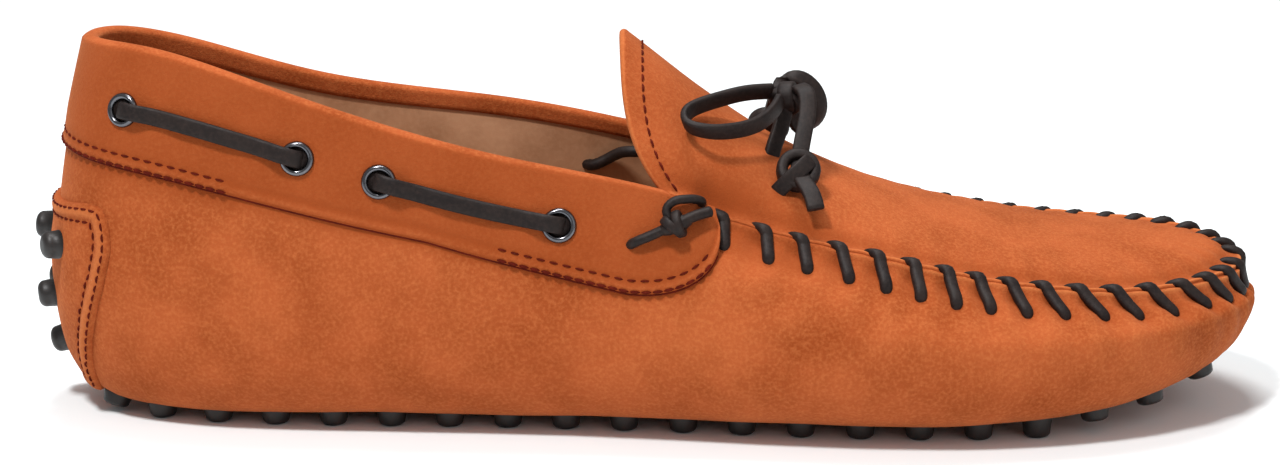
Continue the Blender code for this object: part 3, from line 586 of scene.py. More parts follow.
def add_piece(
    name: str,
    shape: Shape,
    finish: bpy.types.Material,
    nodes: Sequence[str] = (),
    weld: bool = False,
    turn_out: bool = False,
    rub: Optional[Array] = None,
) -> bpy.types.Object:
    """Adds a finished piece, smooth-shaded, riding on the shoe.

    Args:
        name: The piece's name.
        shape: Its points and faces.
        finish: Its material.
        nodes: The solids that it stands for.
        weld: Whether points in one place become one.
        turn_out: Whether the faces are turned outwards.
        rub: How pale the nap is drawn at each point, rubbed paler or given painted light and shade,
            0.5 where it is neither.

    Returns:
        The piece.
    """
    points, faces = shape
    mesh = bpy.data.meshes.new(name)
    mesh.from_pydata(np.asarray(points, float).tolist(), [], faces)
    if rub is not None:
        mark = mesh.attributes.new("rub", "FLOAT", "POINT")
        mark.data.foreach_set("value", np.asarray(rub, np.float32))
    if weld or turn_out:
        work = bmesh.new()
        work.from_mesh(mesh)
        if weld:
            bmesh.ops.remove_doubles(work, verts=work.verts, dist=1e-6)
        if turn_out:
            bmesh.ops.recalc_face_normals(work, faces=work.faces)
        work.to_mesh(mesh)
        work.free()
    piece = bpy.data.objects.new(name, mesh)
    bpy.context.scene.collection.objects.link(piece)
    return dress(piece, finish, nodes)


def dress(
    piece: bpy.types.Object, finish: bpy.types.Material, nodes: Sequence[str] = ()
) -> bpy.types.Object:
    """Shades a piece smooth, gives it its finish and sets it on the shoe.

    Args:
        piece: The piece, in place.
        finish: Its material.
        nodes: The solids that it stands for.

    Returns:
        The piece.
    """
    mesh = piece.data
    mesh.polygons.foreach_set("use_smooth", [True] * len(mesh.polygons))
    mesh.materials.append(finish)
    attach(piece, "root")
    if nodes:
        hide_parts(*nodes)
    LOG.info("%s: %d faces", piece.name, len(mesh.polygons))
    return piece


def sweep(
    path: Array,
    across: Array,
    width: Array,
    thickness: Array,
    sides: int = 12,
    squareness: float = 2.0,
    dome: float = 0.35,
) -> Shape:
    """A solid along a path, with an oval or strap-like section and domed ends.

    Args:
        path: The centres of its rings.
        across: The way of its broad side, one for each ring or one for all.
        width: Its breadth in metres, one for each ring or one for all.
        thickness: Its thickness in the same way.
        sides: Points round a ring.
        squareness: 2 for an oval, more for a strap with rounded edges.
        dome: How far the ends bulge, as a share of the thickness.

    Returns:
        The solid's points and faces.
    """
    count = len(path)
    across = np.broadcast_to(np.asarray(across, float), (count, 3))
    width = np.broadcast_to(np.asarray(width, float), (count,))[:, None, None]
    thickness = np.broadcast_to(np.asarray(thickness, float), (count,))[:, None, None]
    ahead = unit(np.gradient(path, axis=0))
    thin = unit(np.cross(across, ahead))
    broad = np.cross(ahead, thin)
    angle = 2 * math.pi * (np.arange(sides) + 0.5) / sides
    cos, sin = np.cos(angle), np.sin(angle)
    a = np.sign(cos) * abs(cos) ** (2 / squareness) / 2
    b = np.sign(sin) * abs(sin) ** (2 / squareness) / 2
    rings = path[:, None] + broad[:, None] * a[None, :, None] * width
    rings = rings + thin[:, None] * b[None, :, None] * thickness
    caps = []
    for end, way in ((0, -1), (-1, 1)):
        reach = float(thickness[end, 0, 0]) * dome
        inner = path[end] + (rings[end] - path[end]) * 0.7 + ahead[end] * way * reach * 0.75
        caps.append((inner, path[end] + ahead[end] * way * reach))
    points = [rings.reshape(-1, 3), caps[0][0], caps[1][0], [caps[0][1]], [caps[1][1]]]
    faces = []
    for i in range(count - 1):
        for k in range(sides):
            m = (k + 1) % sides
            a0, a1 = i * sides, (i + 1) * sides
            faces.append((a0 + k, a0 + m, a1 + m, a1 + k))
    first, last = count * sides, (count + 1) * sides
    tips = (count + 2) * sides, (count + 2) * sides + 1
    for k in range(sides):
        m = (k + 1) % sides
        end = (count - 1) * sides
        faces += [(m, k, first + k, first + m), (first + m, first + k, tips[0])]
        faces += [(end + k, end + m, last + m, last + k), (last + k, last + m, tips[1])]
    return np.vstack(points), faces


def smooth_path(points: Array, step: float) -> Array:
    """A smooth curve through given points, read at about every step."""
    points = np.asarray(points, float)
    run = run_of(points)
    count = max(round(run[-1] / step), 3)
    return Spline.through(run, points).at(np.linspace(0.0, run[-1], count + 1))


def spun_up(
    profile: Sequence[Tuple[float, float]], vertices: int, hollow: bool = False
) -> bpy.types.Object:
    """A round solid about Z: a circle extruded and resized through a profile.

    Args:
        profile: Radii and heights, from the first circle on.
        vertices: Points round each circle.
        hollow: Whether the last circle joins the first, and not each end closes in a face.

    Returns:
        The solid, standing on the origin.
    """
    radius, height = profile[0]
    bpy.ops.object.select_all(action="DESELECT")
    bpy.ops.mesh.primitive_circle_add(vertices=vertices, radius=radius, location=(0, 0, height))
    model = bpy.context.object
    bpy.ops.object.transform_apply(location=True, rotation=False, scale=False)
    bpy.ops.object.mode_set(mode="EDIT")
    bpy.ops.mesh.select_all(action="SELECT")
    if not hollow:
        bpy.ops.mesh.edge_face_add()
        bpy.ops.mesh.select_all(action="SELECT")
    for wide, high in profile[1:]:
        rise = {"value": (0.0, 0.0, high - height)}
        bpy.ops.mesh.extrude_region_move(TRANSFORM_OT_translate=rise)
        bpy.ops.transform.resize(value=(wide / radius, wide / radius, 1.0))
        radius, height = wide, high
    if hollow:
        bpy.ops.mesh.select_all(action="DESELECT")
        bpy.ops.mesh.select_mode(type="EDGE")
        bpy.ops.mesh.select_non_manifold()
        bpy.ops.mesh.bridge_edge_loops()
    bpy.ops.mesh.select_all(action="SELECT")
    bpy.ops.mesh.normals_make_consistent(inside=False)
    bpy.ops.object.mode_set(mode="OBJECT")
    return model


def copy_to(model: bpy.types.Object, name: str, place: Array, out: Array) -> bpy.types.Object:
    """A copy of a model with a mesh of its own, moved to a place, its axis along out."""
    out = unit(np.asarray(out, float))
    side = unit(np.cross(out, (0.0, 0.0, 1.0) if abs(out[2]) < 0.9 else (1.0, 0.0, 0.0)))
    turn = Matrix(np.stack([side, np.cross(out, side), out], axis=1).tolist()).to_4x4()
    mesh = model.data.copy()
    mesh.transform(Matrix.Translation(Vector(place)) @ turn)
    piece = bpy.data.objects.new(name, mesh)
    bpy.context.scene.collection.objects.link(piece)
    return piece


def merged(name: str, parts: Sequence[bpy.types.Object]) -> bpy.types.Object:
    """Several objects joined into one, under a name."""
    bpy.ops.object.select_all(action="DESELECT")
    for part in parts:
        part.select_set(True)
    bpy.context.view_layer.objects.active = parts[0]
    bpy.ops.object.join()
    parts[0].name = name
    return parts[0]


def ring_solid(
    centre: Array, out: Array, radius: float, width: float, thickness: float, turns: int = 28
) -> Shape:
    """A strap closed in a ring, its broad side along out."""
    out = unit(np.asarray(out, float))
    side = unit(np.cross(out, (0.0, 1.0, 0.02) if abs(out[1]) < 0.9 else (1.0, 0.0, 0.02)))
    other = np.cross(out, side)
    angle = 2 * math.pi * np.arange(turns) / turns
    away = np.cos(angle)[:, None] * side + np.sin(angle)[:, None] * other
    sides = 12
    section = 2 * math.pi * (np.arange(sides) + 0.5) / sides
    cos, sin = np.cos(section), np.sin(section)
    a = np.sign(cos) * abs(cos) ** 0.6 * thickness / 2
    b = np.sign(sin) * abs(sin) ** 0.6 * width / 2
    points = centre + away[:, None] * (radius + a)[None, :, None] + out * b[None, :, None]
    faces = []
    for i in range(turns):
        j = (i + 1) % turns
        for k in range(sides):
            m = (k + 1) % sides
            faces.append((i * sides + k, i * sides + m, j * sides + m, j * sides + k))
    return points.reshape(-1, 3), faces


class Stitch(NamedTuple):
    """A whip stitch over the plug seam: its lower hole, and where it crosses the ridge."""

    low_round: float
    low_up: float
    high_round: float


OUTER_STITCHES = (
    Stitch(0.2733, 0.883, 0.2772),
    Stitch(0.2883, 0.875, 0.2915),
    Stitch(0.3017, 0.878, 0.3035),
    Stitch(0.3158, 0.878, 0.3160),
    Stitch(0.3283, 0.870, 0.3286),
    Stitch(0.3400, 0.863, 0.3410),
    Stitch(0.3525, 0.855, 0.3528),
    Stitch(0.3650, 0.855, 0.3640),
    Stitch(0.3783, 0.855, 0.3757),
    Stitch(0.3925, 0.853, 0.3880),
    Stitch(0.4075, 0.843, 0.4015),
    Stitch(0.4217, 0.830, 0.4155),
    Stitch(0.4375, 0.815, 0.4300),
    Stitch(0.4558, 0.800, 0.4450),
    Stitch(0.4700, 0.760, 0.4595),
    Stitch(0.4830, 0.730, 0.4730),
    Stitch(0.4930, 0.715, 0.4860),
)
# On the inner side the stitches cross the ridge at these places, counted from the heel
INNER_CROSSINGS = (
    0.2772, 0.2905, 0.3030, 0.3155, 0.3280, 0.3405, 0.3527, 0.3635, 0.3752, 0.3872,
    0.4000, 0.4130, 0.4260, 0.4390, 0.4520, 0.4645, 0.4760, 0.4875, 0.4990,
)


class Crease(NamedTuple):
    """A soft trough: from one place to another, with its width and depth in mm."""

    start: Place
    end: Place
    width_mm: float
    depth_mm: float


CREASES = (
    Crease(Place(0.262, 0.62), Place(0.300, 0.80), 7.0, 0.45),
    Crease(Place(0.285, 0.50), Place(0.318, 0.72), 8.0, 0.40),
    Crease(Place(0.738, 0.62), Place(0.700, 0.80), 7.0, 0.45),
    Crease(Place(0.715, 0.50), Place(0.682, 0.72), 8.0, 0.40),
    Crease(Place(0.205, 0.42), Place(0.235, 0.60), 9.0, 0.40),
    Crease(Place(0.795, 0.42), Place(0.765, 0.60), 9.0, 0.40),
    Crease(Place(0.090, 0.44), Place(0.135, 0.52), 8.0, 0.35),
    Crease(Place(0.910, 0.44), Place(0.865, 0.52), 8.0, 0.35),
)


@dataclass
class Upper:
    """The suede shell with its tongue, seam ridge, puckers and creases, over its lining."""

    last: Last
    finishes: Materials
    wall: float = 0.0022
    collar_columns: int = 96
    plug_columns: int = 150
    collar_crowding: float = 1.15
    toe_crowding: float = 1.12
    across_count: int = 46
    ridge: float = 0.95 * MM
    ridge_width: float = 1.3 * MM
    valley: float = 0.85 * MM
    valley_reach: float = 3.6 * MM
    groove: float = 0.95 * MM
    groove_width: float = 0.42 * MM
    pucker: float = 1.25 * MM
    pucker_reach: float = 4.2 * MM
    dimple: float = 1.2 * MM
    dimple_width: float = 2.2 * MM
    rear_drop: float = 3.2 * MM

    def __post_init__(self) -> None:
        """Lays the grid of the shell, and the seam that its relief follows."""
        last = self.last
        self.pairs = self.collar_columns + self.plug_columns
        self.columns = 2 * self.pairs
        collar = (np.arange(self.collar_columns) / self.collar_columns) ** self.collar_crowding
        steps = np.arange(self.plug_columns + 1) / self.plug_columns
        self.forward = 1 - (1 - steps) ** self.toe_crowding
        outer_throat, inner_throat = last.throats
        seam_outer = last.seam(self.forward, Side.OUTER)
        seam_inner = last.seam(self.forward, Side.INNER)
        outer = np.concatenate([outer_throat * collar, seam_outer])
        inner = np.concatenate([1 - (1 - inner_throat) * collar, seam_inner])
        self.around = np.concatenate([outer, inner[1:-1][::-1]])
        self.ups = np.concatenate(
            [
                np.linspace(0.0, 0.30, 12)[1:],
                np.linspace(0.30, 0.80, 32)[1:],
                1 - 0.20 * (1 - np.linspace(0, 1, 24)[1:]) ** 1.5,
            ]
        )
        spine = last.spine_point((outer + 1 - inner) / 2)
        grid = last.point(self.around[None, :], self.ups[:, None])
        self.rows = len(self.ups) + 1
        steps = np.linspace(-1, 1, self.across_count + 2)[1:-1]
        self.across = np.sign(steps) * (1 - (1 - abs(steps)) ** 1.7)
        plug = last.plug(self.forward[:-1, None], self.across[None, :])
        self.base = np.concatenate([spine, grid.reshape(-1, 3), plug.reshape(-1, 3)])
        self.faces = self.wrap_faces() + self.plug_faces()
        self.normals = self.grid_normals(self.base)
        self.lay_seam()

    def index(self, row: int, column: int) -> int:
        """Number of the wrap's point in a row and a column."""
        column %= self.columns
        if row == 0:
            return column if column <= self.pairs else self.columns - column
        return self.pairs + 1 + (row - 1) * self.columns + column

    def plug_index(self, j: int, k: int) -> int:
        """Number of the plug's point, its seams included."""
        if k == 0 or j == self.plug_columns:
            return self.index(self.rows - 1, self.collar_columns + j)
        if k == len(self.across) + 1:
            return self.index(self.rows - 1, self.columns - self.collar_columns - j)
        first = self.pairs + 1 + (self.rows - 1) * self.columns
        return first + j * len(self.across) + k - 1

    def wrap_faces(self) -> Faces:
        """Faces of the wrap, from the spine to the top edge."""
        faces = []
        for row in range(self.rows - 1):
            for column in range(self.columns):
                a, b = self.index(row, column), self.index(row, column + 1)
                faces.append((a, b, self.index(row + 1, column + 1), self.index(row + 1, column)))
        return faces

    def plug_faces(self) -> Faces:
        """Faces of the plug and the tongue."""
        faces = []
        for j in range(self.plug_columns):
            for k in range(len(self.across) + 1):
                corners = [self.plug_index(j, k), self.plug_index(j + 1, k)]
                corners += [self.plug_index(j + 1, k + 1), self.plug_index(j, k + 1)]
                faces.append(tuple(dict.fromkeys(corners)))
        return faces

    def grid_normals(self, points: Array) -> Array:
        """Normals of the shell's points, from the faces round them."""
        corners = np.array([(f[0], f[1], f[2], f[-1]) for f in self.faces])
        a, b, c, d = (points[corners[:, i]] for i in range(4))
        out = np.cross(c - a, np.where((corners[:, 2] == corners[:, 3])[:, None], c - b, d - b))
        total = np.zeros_like(points)
        for i in range(4):
            np.add.at(total, corners[:, i], out)
        return unit(total)

    def lay_seam(self) -> None:
        """Finds each point's distance to the plug seam, and how far along the seam it is."""
        around = np.linspace(self.last.throats[0], self.last.throats[1], 1600)
        self.seam_around = around
        self.seam_points = self.last.point(around, 1.0)
        self.seam_run = run_of(self.seam_points)
        tree = KDTree(len(around))
        for i, place in enumerate(self.seam_points):
            tree.insert(Vector(place), i)
        tree.balance()
        self.seam_distance = np.full(len(self.base), 1.0)
        self.seam_along = np.zeros(len(self.base))
        near = self.base[:, 0] > self.seam_points[0][0] - 0.02
        for i in np.flatnonzero(near):
            _, which, distance = tree.find(Vector(self.base[i]))
            self.seam_distance[i] = distance
            self.seam_along[i] = self.seam_run[which]

    def run_at(self, around: float) -> float:
        """How far along the seam a place round the foot is."""
        return float(np.interp(around, self.seam_around, self.seam_run))

    def stitches(self) -> List[Tuple[Place, float]]:
        """Every whip stitch: its lower hole's place, and where it crosses the ridge."""
        found = [(Place(s.low_round, s.low_up), s.high_round) for s in OUTER_STITCHES]
        highs = [s.high_round for s in OUTER_STITCHES]
        lean = [s.low_round - s.high_round for s in OUTER_STITCHES]
        for crossing in INNER_CROSSINGS:
            low = crossing + float(np.interp(crossing, [*highs, 0.5], [*lean, 0.0]))
            up = float(np.interp(crossing, highs, [s.low_up for s in OUTER_STITCHES]))
            found.append((Place(1 - low, up), 1 - crossing))
        return sorted(found, key=lambda stitch: stitch[1])

    def relief(self) -> Array:
        """How far each point stands out of, or sinks under, the smooth last."""
        distance, along = self.seam_distance, self.seam_along
        stitches = self.stitches()
        crossings = np.array([self.run_at(around) for _, around in stitches])
        lean = np.array([self.run_at(place.round) for place, _ in stitches]) - crossings
        on_wrap = np.zeros(len(self.base), bool)
        on_wrap[: self.pairs + 1 + (self.rows - 1) * self.columns] = True
        shift = np.interp(along, crossings, lean) * np.clip(distance / 0.009, 0, 1.3)
        phase = np.interp(along - np.where(on_wrap, shift, 0), crossings, np.arange(len(crossings)))
        between = (1 - np.cos(2 * math.pi * phase)) / 2
        reach = distance / self.pucker_reach
        swell = reach * np.exp(1 - reach) * np.where(on_wrap, self.pucker, 0.35 * self.pucker)
        relief = swell * (between - 0.5)
        edge = smooth_step((self.base[:, 0] - self.seam_points[0][0] + 0.002) / 0.006)
        crest = self.ridge * (0.82 + 0.18 * between) * hump(distance, self.ridge_width)
        self.crest = edge * crest - edge * self.groove * hump(distance, self.groove_width)
        relief -= edge * self.valley * hump(distance - self.valley_reach, 2.2 * MM)
        holes = self.last.point([p.round for p, _ in stitches], [p.up for p, _ in stitches])
        low = self.base[:, 0] > holes[:, 0].min() - 0.01
        for hole in holes:
            gap = np.linalg.norm(self.base[low] - hole, axis=1)
            relief[low] -= self.dimple * hump(gap, self.dimple_width)
        rear = np.zeros(len(along))
        for run in (along, self.seam_run[-1] - along):
            fade = 1 - smooth_step((run - 14 * MM) / (38 * MM))
            rear += smooth_step((run - 4 * MM) / (6 * MM)) * fade
        relief -= self.rear_drop * rear * hump(distance, 9 * MM)
        for crease in CREASES:
            relief -= self.trough(crease)
        return relief + self.unevenness()

    def trough(self, crease: Crease) -> Array:
        """Depth of one soft crease at each point."""
        share = np.linspace(0, 1, 12)
        around = crease.start.round + (crease.end.round - crease.start.round) * share
        up = crease.start.up + (crease.end.up - crease.start.up) * share
        line = self.last.point(around, up)
        box = (line.min(axis=0) - 0.03, line.max(axis=0) + 0.03)
        near = np.flatnonzero(((self.base > box[0]) & (self.base < box[1])).all(axis=1))
        gap = np.linalg.norm(self.base[near, None] - line[None], axis=2)
        fade = np.sin(math.pi * (0.12 + 0.76 * share[gap.argmin(axis=1)]))
        found = np.zeros(len(self.base))
        width = crease.width_mm * MM
        cut = hump(gap.min(axis=1), width * 0.5) - 0.45 * hump(gap.min(axis=1), width * 1.1)
        found[near] = cut * fade * crease.depth_mm * MM
        return found

    def unevenness(self) -> Array:
        """The slow rise and fall of soft leather over a last."""
        x, y, z = (self.base[:, i] for i in range(3))
        waves = np.sin(x * 95 + 2 * np.sin(z * 60)) * np.cos(y * 80 + x * 31)
        waves += 0.6 * np.sin(x * 210 + y * 130) * np.cos(z * 190 + x * 60)
        return 0.14 * MM * waves

    def rub(self, relief: Array) -> Array:
        """How pale the nap is drawn: rubbed on the ridge and the rim, painted shade in the seam's
        groove, beside the stitches and under the band's edge, darker on the top from x = 0.16 m
        back, and painted shade and light where the relief sinks or stands out.
        """
        distance = self.seam_distance
        # Paler on the ridge's two crests, with painted shade in the groove between them along the
        # seam.
        pale = 0.5 + 0.40 * hump(distance - 0.85 * MM, 0.5 * MM) - 0.6 * hump(distance, 0.4 * MM)
        # Painted shade in the valley and puckers beside the seam.
        pale -= 0.16 * hump(distance - 5 * MM, 3 * MM)
        pale -= 0.14 * smooth_step((0.160 - self.base[:, 0]) / 0.03) * (self.base[:, 2] > 0.055)
        # Painted shadow on the upper along the collar band's lower edge.
        edge = self.last.band_edge(np.where(self.around > 0.5, self.around - 1, self.around))
        under = (self.ups[:, None] - edge[None, :]).ravel()
        first = self.pairs + 1
        pale[first : first + len(under)] -= 0.5 * hump(under, 0.016)
        # Painted shade where the relief sinks and painted light where it stands out.
        return np.clip(pale + np.clip(relief / MM, -1.4, 0.8) * 0.16, 0, 1)

    def rim(self) -> List[Tuple[int, int]]:
        """The open edge, with the point just below each of its points."""
        top = self.rows - 1
        loop = []
        half = self.collar_columns
        for column in range(self.columns - half, self.columns + half + 1):
            loop.append((self.index(top, column), self.index(top - 2, column)))
        for k in range(1, len(self.across) + 1):
            loop.append((self.plug_index(0, k), self.plug_index(2, k)))
        return loop

    def build(self) -> bpy.types.Object:
        """Makes the shell, its outer face in suede and its inner face in calf."""
        relief = self.relief()
        soft = self.base + self.normals * relief[:, None]
        self.tree = BVHTree.FromPolygons([Vector(p) for p in soft], self.faces)
        self.soft_relief = relief
        self.base_tree = KDTree(len(self.base))
        for i, place in enumerate(self.base):
            self.base_tree.insert(Vector(place), i)
        self.base_tree.balance()
        relief = relief + self.crest
        outer = self.base + self.normals * relief[:, None]
        depth = self.wall - np.minimum(relief + 0.8 * MM, 0.0)
        inner = self.base - self.normals * depth[:, None]
        count = len(self.base)
        faces = list(self.faces)
        faces += [tuple(i + count for i in reversed(face)) for face in self.faces]
        rim = self.rim()
        steps = 5
        bead, size = [], len(rim)
        for edge, below in rim:
            away = unit(outer[edge] - outer[below])
            middle = (outer[edge] + inner[edge]) / 2
            half = (outer[edge] - inner[edge]) / 2
            reach = np.linalg.norm(half) * 0.9
            for step in range(1, steps):
                angle = math.pi * step / steps
                bead.append(middle + half * math.cos(angle) + away * reach * math.sin(angle))
        for i, (edge, _) in enumerate(rim):
            j = (i + 1) % size
            ring = [edge] + [2 * count + i * (steps - 1) + s for s in range(steps - 1)]
            ring.append(edge + count)
            after = [rim[j][0]] + [2 * count + j * (steps - 1) + s for s in range(steps - 1)]
            after.append(rim[j][0] + count)
            for s in range(steps):
                faces.append((ring[s], after[s], after[s + 1], ring[s + 1]))
        points = np.vstack([outer, inner, np.array(bead)])
        rub = self.rub(relief)
        marks = np.concatenate([rub, np.full(count, 0.5), np.full(len(bead), 0.72)])
        piece = add_piece(
            "upper_suede", (points, faces), self.finishes.suede, ["upper"],
            turn_out=True, rub=marks,
        )
        piece.data.materials.append(self.finishes.lining)
        index = np.zeros(len(piece.data.polygons), np.int32)
        index[len(self.faces) : 2 * len(self.faces)] = 1
        piece.data.polygons.foreach_set("material_index", index)
        return piece

    def snap(self, place: Array, over: float) -> Array:
        """The point at a height over the suede, straight over or under a place on the last."""
        _, near, _ = self.base_tree.find(Vector(place))
        normal = self.normals[near]
        off = (place - self.base[near]) @ normal
        return place + normal * (self.soft_relief[near] + over - off)


@dataclass
class WhipStitches:
    """The round lace that binds the plug to the vamp, a stitch at a time."""

    upper: Upper
    width: float = 2.9 * MM
    thickness: float = 2.3 * MM

    def build(self) -> bpy.types.Object:
        """Makes all the stitches as one joined piece."""
        shapes = [self.stitch(place, high) for place, high in self.upper.stitches()]
        return add_piece(
            "whip_stitch_lace", joined(shapes), self.upper.finishes.lace, turn_out=True
        )

    def stitch(self, low: Place, high: float) -> Shape:
        """One stitch, from its hole in the vamp over the ridge to its hole in the plug."""
        last, lift = self.upper.last, self.thickness * 0.22
        share = np.linspace(0.0, 0.9, 6)
        around = low.round + (high - low.round) * share
        wrap = last.point(around, low.up + (1.0 - low.up) * share)
        top = last.point(high, 1.0)
        ahead = unit(last.point(high + 0.003, 1.0) - last.point(high - 0.003, 1.0))
        back = -ahead if high < 0.5 else ahead
        inward = last.plug(0.5, 0.0) - top
        inward = unit(inward - ahead * (inward @ ahead))
        path = []
        for place, over in zip(wrap, (-1.0 * MM, 0.6 * lift, lift, lift, lift, 1.4 * lift)):
            path.append(self.upper.snap(place, over))
        # Pulled tight, the lace runs straight over the dip beside the ridge
        outward = unit(path[0] - self.upper.snap(wrap[0], -3 * MM))
        for i in range(2, 5):
            taut = path[1] + (path[5] - path[1]) * (i - 1) / 4 - path[i]
            path[i] = path[i] + taut * (0.8 if taut @ outward > 0 else 0.0)
        sunk = 0.95 * float(smooth_step((high - 0.535) / 0.05))
        toe = float(smooth_step((min(high, 1 - high) - 0.445) / 0.045))
        hook = ((0.1, 0.2, 0.75), (1.1, 1.3, 0.55), (1.8, 2.5, 0.0), (2.1, 3.3, -1.1))
        for inner, rear, over in hook:
            place = top + inward * inner * (1 + 1.2 * toe) * MM + back * rear * (1 - 0.5 * toe) * MM
            path.append(self.upper.snap(place, (over - sunk) * MM))
        path = smooth_path(np.array(path), 0.7 * MM)
        run = run_of(path)
        swell = 0.80 + 0.20 * smooth_step(run / (1.8 * MM))
        swell = swell * (0.55 + 0.45 * smooth_step((run[-1] - run) / (4.0 * MM)))
        width, thickness = self.width * swell, self.thickness * swell
        return sweep(path, ahead, width, thickness, sides=12, squareness=2.3)


@dataclass
class CollarBand:
    """The suede band sewn round the collar, folded over the rim on to the lining."""

    upper: Upper
    step: float = 1.1 * MM
    nap: float = 0.17
    columns: int = 300
    face_rows: int = 36
    fold: float = 0.038
    seam_gap: float = 3.1 * MM
    edge_gap: float = 0.55 * MM
    sewn: Tuple[Tuple[float, float], ...] = (
        (-0.0958, 0.0958), (0.1883, 0.2683), (-0.2683, -0.1883),
    )

    def build(self) -> bpy.types.Object:
        """Makes the band, and keeps its sewn lines and places round the foot for what is sewn or
        set on it.
        """
        last = self.upper.last
        end = last.band_end - 0.0006
        share = np.linspace(-1, 1, self.columns)
        around = end * np.sign(share) * (1 - (1 - abs(share)) ** 1.12)
        edge = last.band_edge(around)
        rows = [(0.0, -0.5 * MM), (0.0, 0.30), (0.012, 0.62), (0.03, 0.86)]
        rows = [(t, h if h < 0 else h * self.step) for t, h in rows]
        rows += [(t, self.step) for t in np.linspace(0.06, 1.0, self.face_rows)]
        grid, heights = [], []
        for t, h in rows:
            up = edge + (1 - edge) * t
            grid.append(last.point(around, up))
            heights.append(np.full(len(around), h))
        grid, heights = np.array(grid), np.array(heights)
        normals = last.normal(np.tile(around, (len(rows), 1)), edge + (1 - edge) * np.array(
            [[t] for t, _ in rows]))
        far = np.cumsum(np.linalg.norm(np.diff(grid, axis=0, prepend=grid[:1]), axis=2), axis=0)
        groove = hump(far - self.seam_gap, 0.7 * MM) * 0.28 * MM
        plump = 0.15 * MM * smooth_step((far - 4 * MM) / (5 * MM))
        heights = heights - np.where(heights > 0.5 * self.step, groove, 0) + plump
        outer = grid + normals * heights[..., None]
        gaps = (self.seam_gap, self.edge_gap)
        self.lines = {gap: self.level(edge, far, rows, gap) for gap in gaps}
        self.around = around
        turned = np.minimum(np.mod(around, 1.0), 1 - np.mod(around, 1.0))
        open_rim = smooth_step((min(last.throats[0], 1 - last.throats[1]) + 0.004 - turned) / 0.006)
        points = np.vstack([outer.reshape(-1, 3), self.rim_rows(around, outer[-1], open_rim)])
        total = len(points) // len(around)
        faces = []
        for row in range(total - 1):
            for k in range(len(around) - 1):
                a = row * len(around) + k
                faces.append((a, a + 1, a + 1 + len(around), a + len(around)))
        rub = np.full(len(points), self.nap)
        flat_far = far.ravel()
        rub[: len(flat_far)] += 0.20 * hump(flat_far - 1.6 * MM, 0.6 * MM)
        # Painted shade in the groove of the upper sewn line.
        rub[: len(flat_far)] -= 0.12 * hump(flat_far - self.seam_gap, 1.2 * MM)
        # Painted shadow along the band's lower edge, on its lowest rows.
        rub[: len(flat_far)] -= 0.5 * (heights.ravel() < 0.7 * self.step)
        rub[len(flat_far) :] = 0.48
        piece = add_piece(
            "collar_band", (points, faces), self.upper.finishes.suede, rub=rub
        )
        return piece

    def level(
        self, edge: Array, far: Array, rows: List[Tuple[float, float]], gap: float
    ) -> Array:
        """Height share in each column of a line that lies this far above the band's edge."""
        shares = np.array([t for t, _ in rows])
        found = [np.interp(gap, far[:, k], shares) for k in range(far.shape[1])]
        return edge + (1 - edge) * np.array(found)

    def rim_rows(self, around: Array, top: Array, open_rim: Array) -> Array:
        """The rows that fold over the rim and down the lining, tucked in beyond the throat."""
        last, wall = self.upper.last, self.upper.wall
        out = last.normal(around, 0.995)
        face = last.point(around, 1.0)
        away = unit(face - last.point(around, 0.97))
        middle = face - out * wall / 2
        rows = []
        for angle in np.linspace(0, math.pi, 9)[1:]:
            reach = wall / 2 + self.step + (0.55 * MM - self.step) * angle / math.pi
            ring = middle + out * reach * math.cos(angle) + away * 1.55 * MM * math.sin(angle)
            rows.append(ring)
        for up, over in ((0.988, 0.55), (0.976, 0.55), (1 - self.fold, 0.5), (0.958, -0.4)):
            base = last.point(around, up) - last.normal(around, up) * (wall + over * MM)
            rows.append(base)
        tucked = face - out * 0.9 * MM
        share = open_rim[:, None]
        return np.vstack([row * share + tucked * (1 - share) for row in rows])

    def sewing(self) -> List[Shape]:
        """The two sewn lines of the band, at the heel and in front, with a plain edge between, and
        a dark line of painted shadow along the band's edge.
        """
        shapes = []
        for gap, pitch in ((self.seam_gap, 2.9 * MM), (self.edge_gap, 2.5 * MM)):
            for start, end in self.sewn:
                keep = (self.around >= start) & (self.around <= end)
                around, up = self.around[keep], self.lines[gap][keep]
                out = self.upper.last.normal(around, up)
                sink = 0.22 * MM if gap == self.seam_gap else 0.10 * MM
                line = self.upper.last.point(around, up) + out * (self.step - sink)
                width = 0.55 * MM if gap == self.seam_gap else 0.80 * MM
                shapes += sew(line, out, pitch, 2.1 * MM, width)
        # The dark line in thread finish along the band's edge is painted shadow.
        return [*shapes, self.edge_shadow_line()]

    def edge_shadow_line(self) -> Shape:
        """A dark line of painted shadow, in the corner where the band's cut edge meets the upper.
        """
        last = self.upper.last
        around = self.around[abs(self.around) < last.band_end - 0.004]
        up = last.band_edge(around)
        out = last.normal(around, up)
        line = last.point(around, up) + out * 0.28 * MM
        return sweep(line, out, 0.55 * MM, 0.55 * MM, sides=6)


def sew(
    line: Array, out: Array, pitch: float, length: float, width: float = 0.58 * MM
) -> List[Shape]:
    """Short thread stitches along a line.

    Args:
        line: Points of the line.
        out: The way out of the leather at each point.
        pitch: Metres from one stitch to the next.
        length: Metres of thread that show in each.
        width: The thread's width.

    Returns:
        The stitches' shapes.
    """
    run = run_of(line)
    count = int(run[-1] / pitch)
    share = np.linspace(-1, 1, 5)
    shapes = []
    for k in range(count):
        middle = (k + 0.5) * run[-1] / count
        places = middle + share * length / 2
        points = np.stack([np.interp(places, run, line[:, i]) for i in range(3)], axis=1)
        ways = unit(np.stack([np.interp(places, run, out[:, i]) for i in range(3)], axis=1))
        points = points + ways * ((1 - share**2) * 0.30 * MM - 0.12 * MM)[:, None]
        broad = np.cross(ways, unit(points[-1] - points[0]))
        size = width * (1 - 0.55 * share**4)
        shapes.append(sweep(points, broad, size, size * 0.75, sides=6))
    return shapes


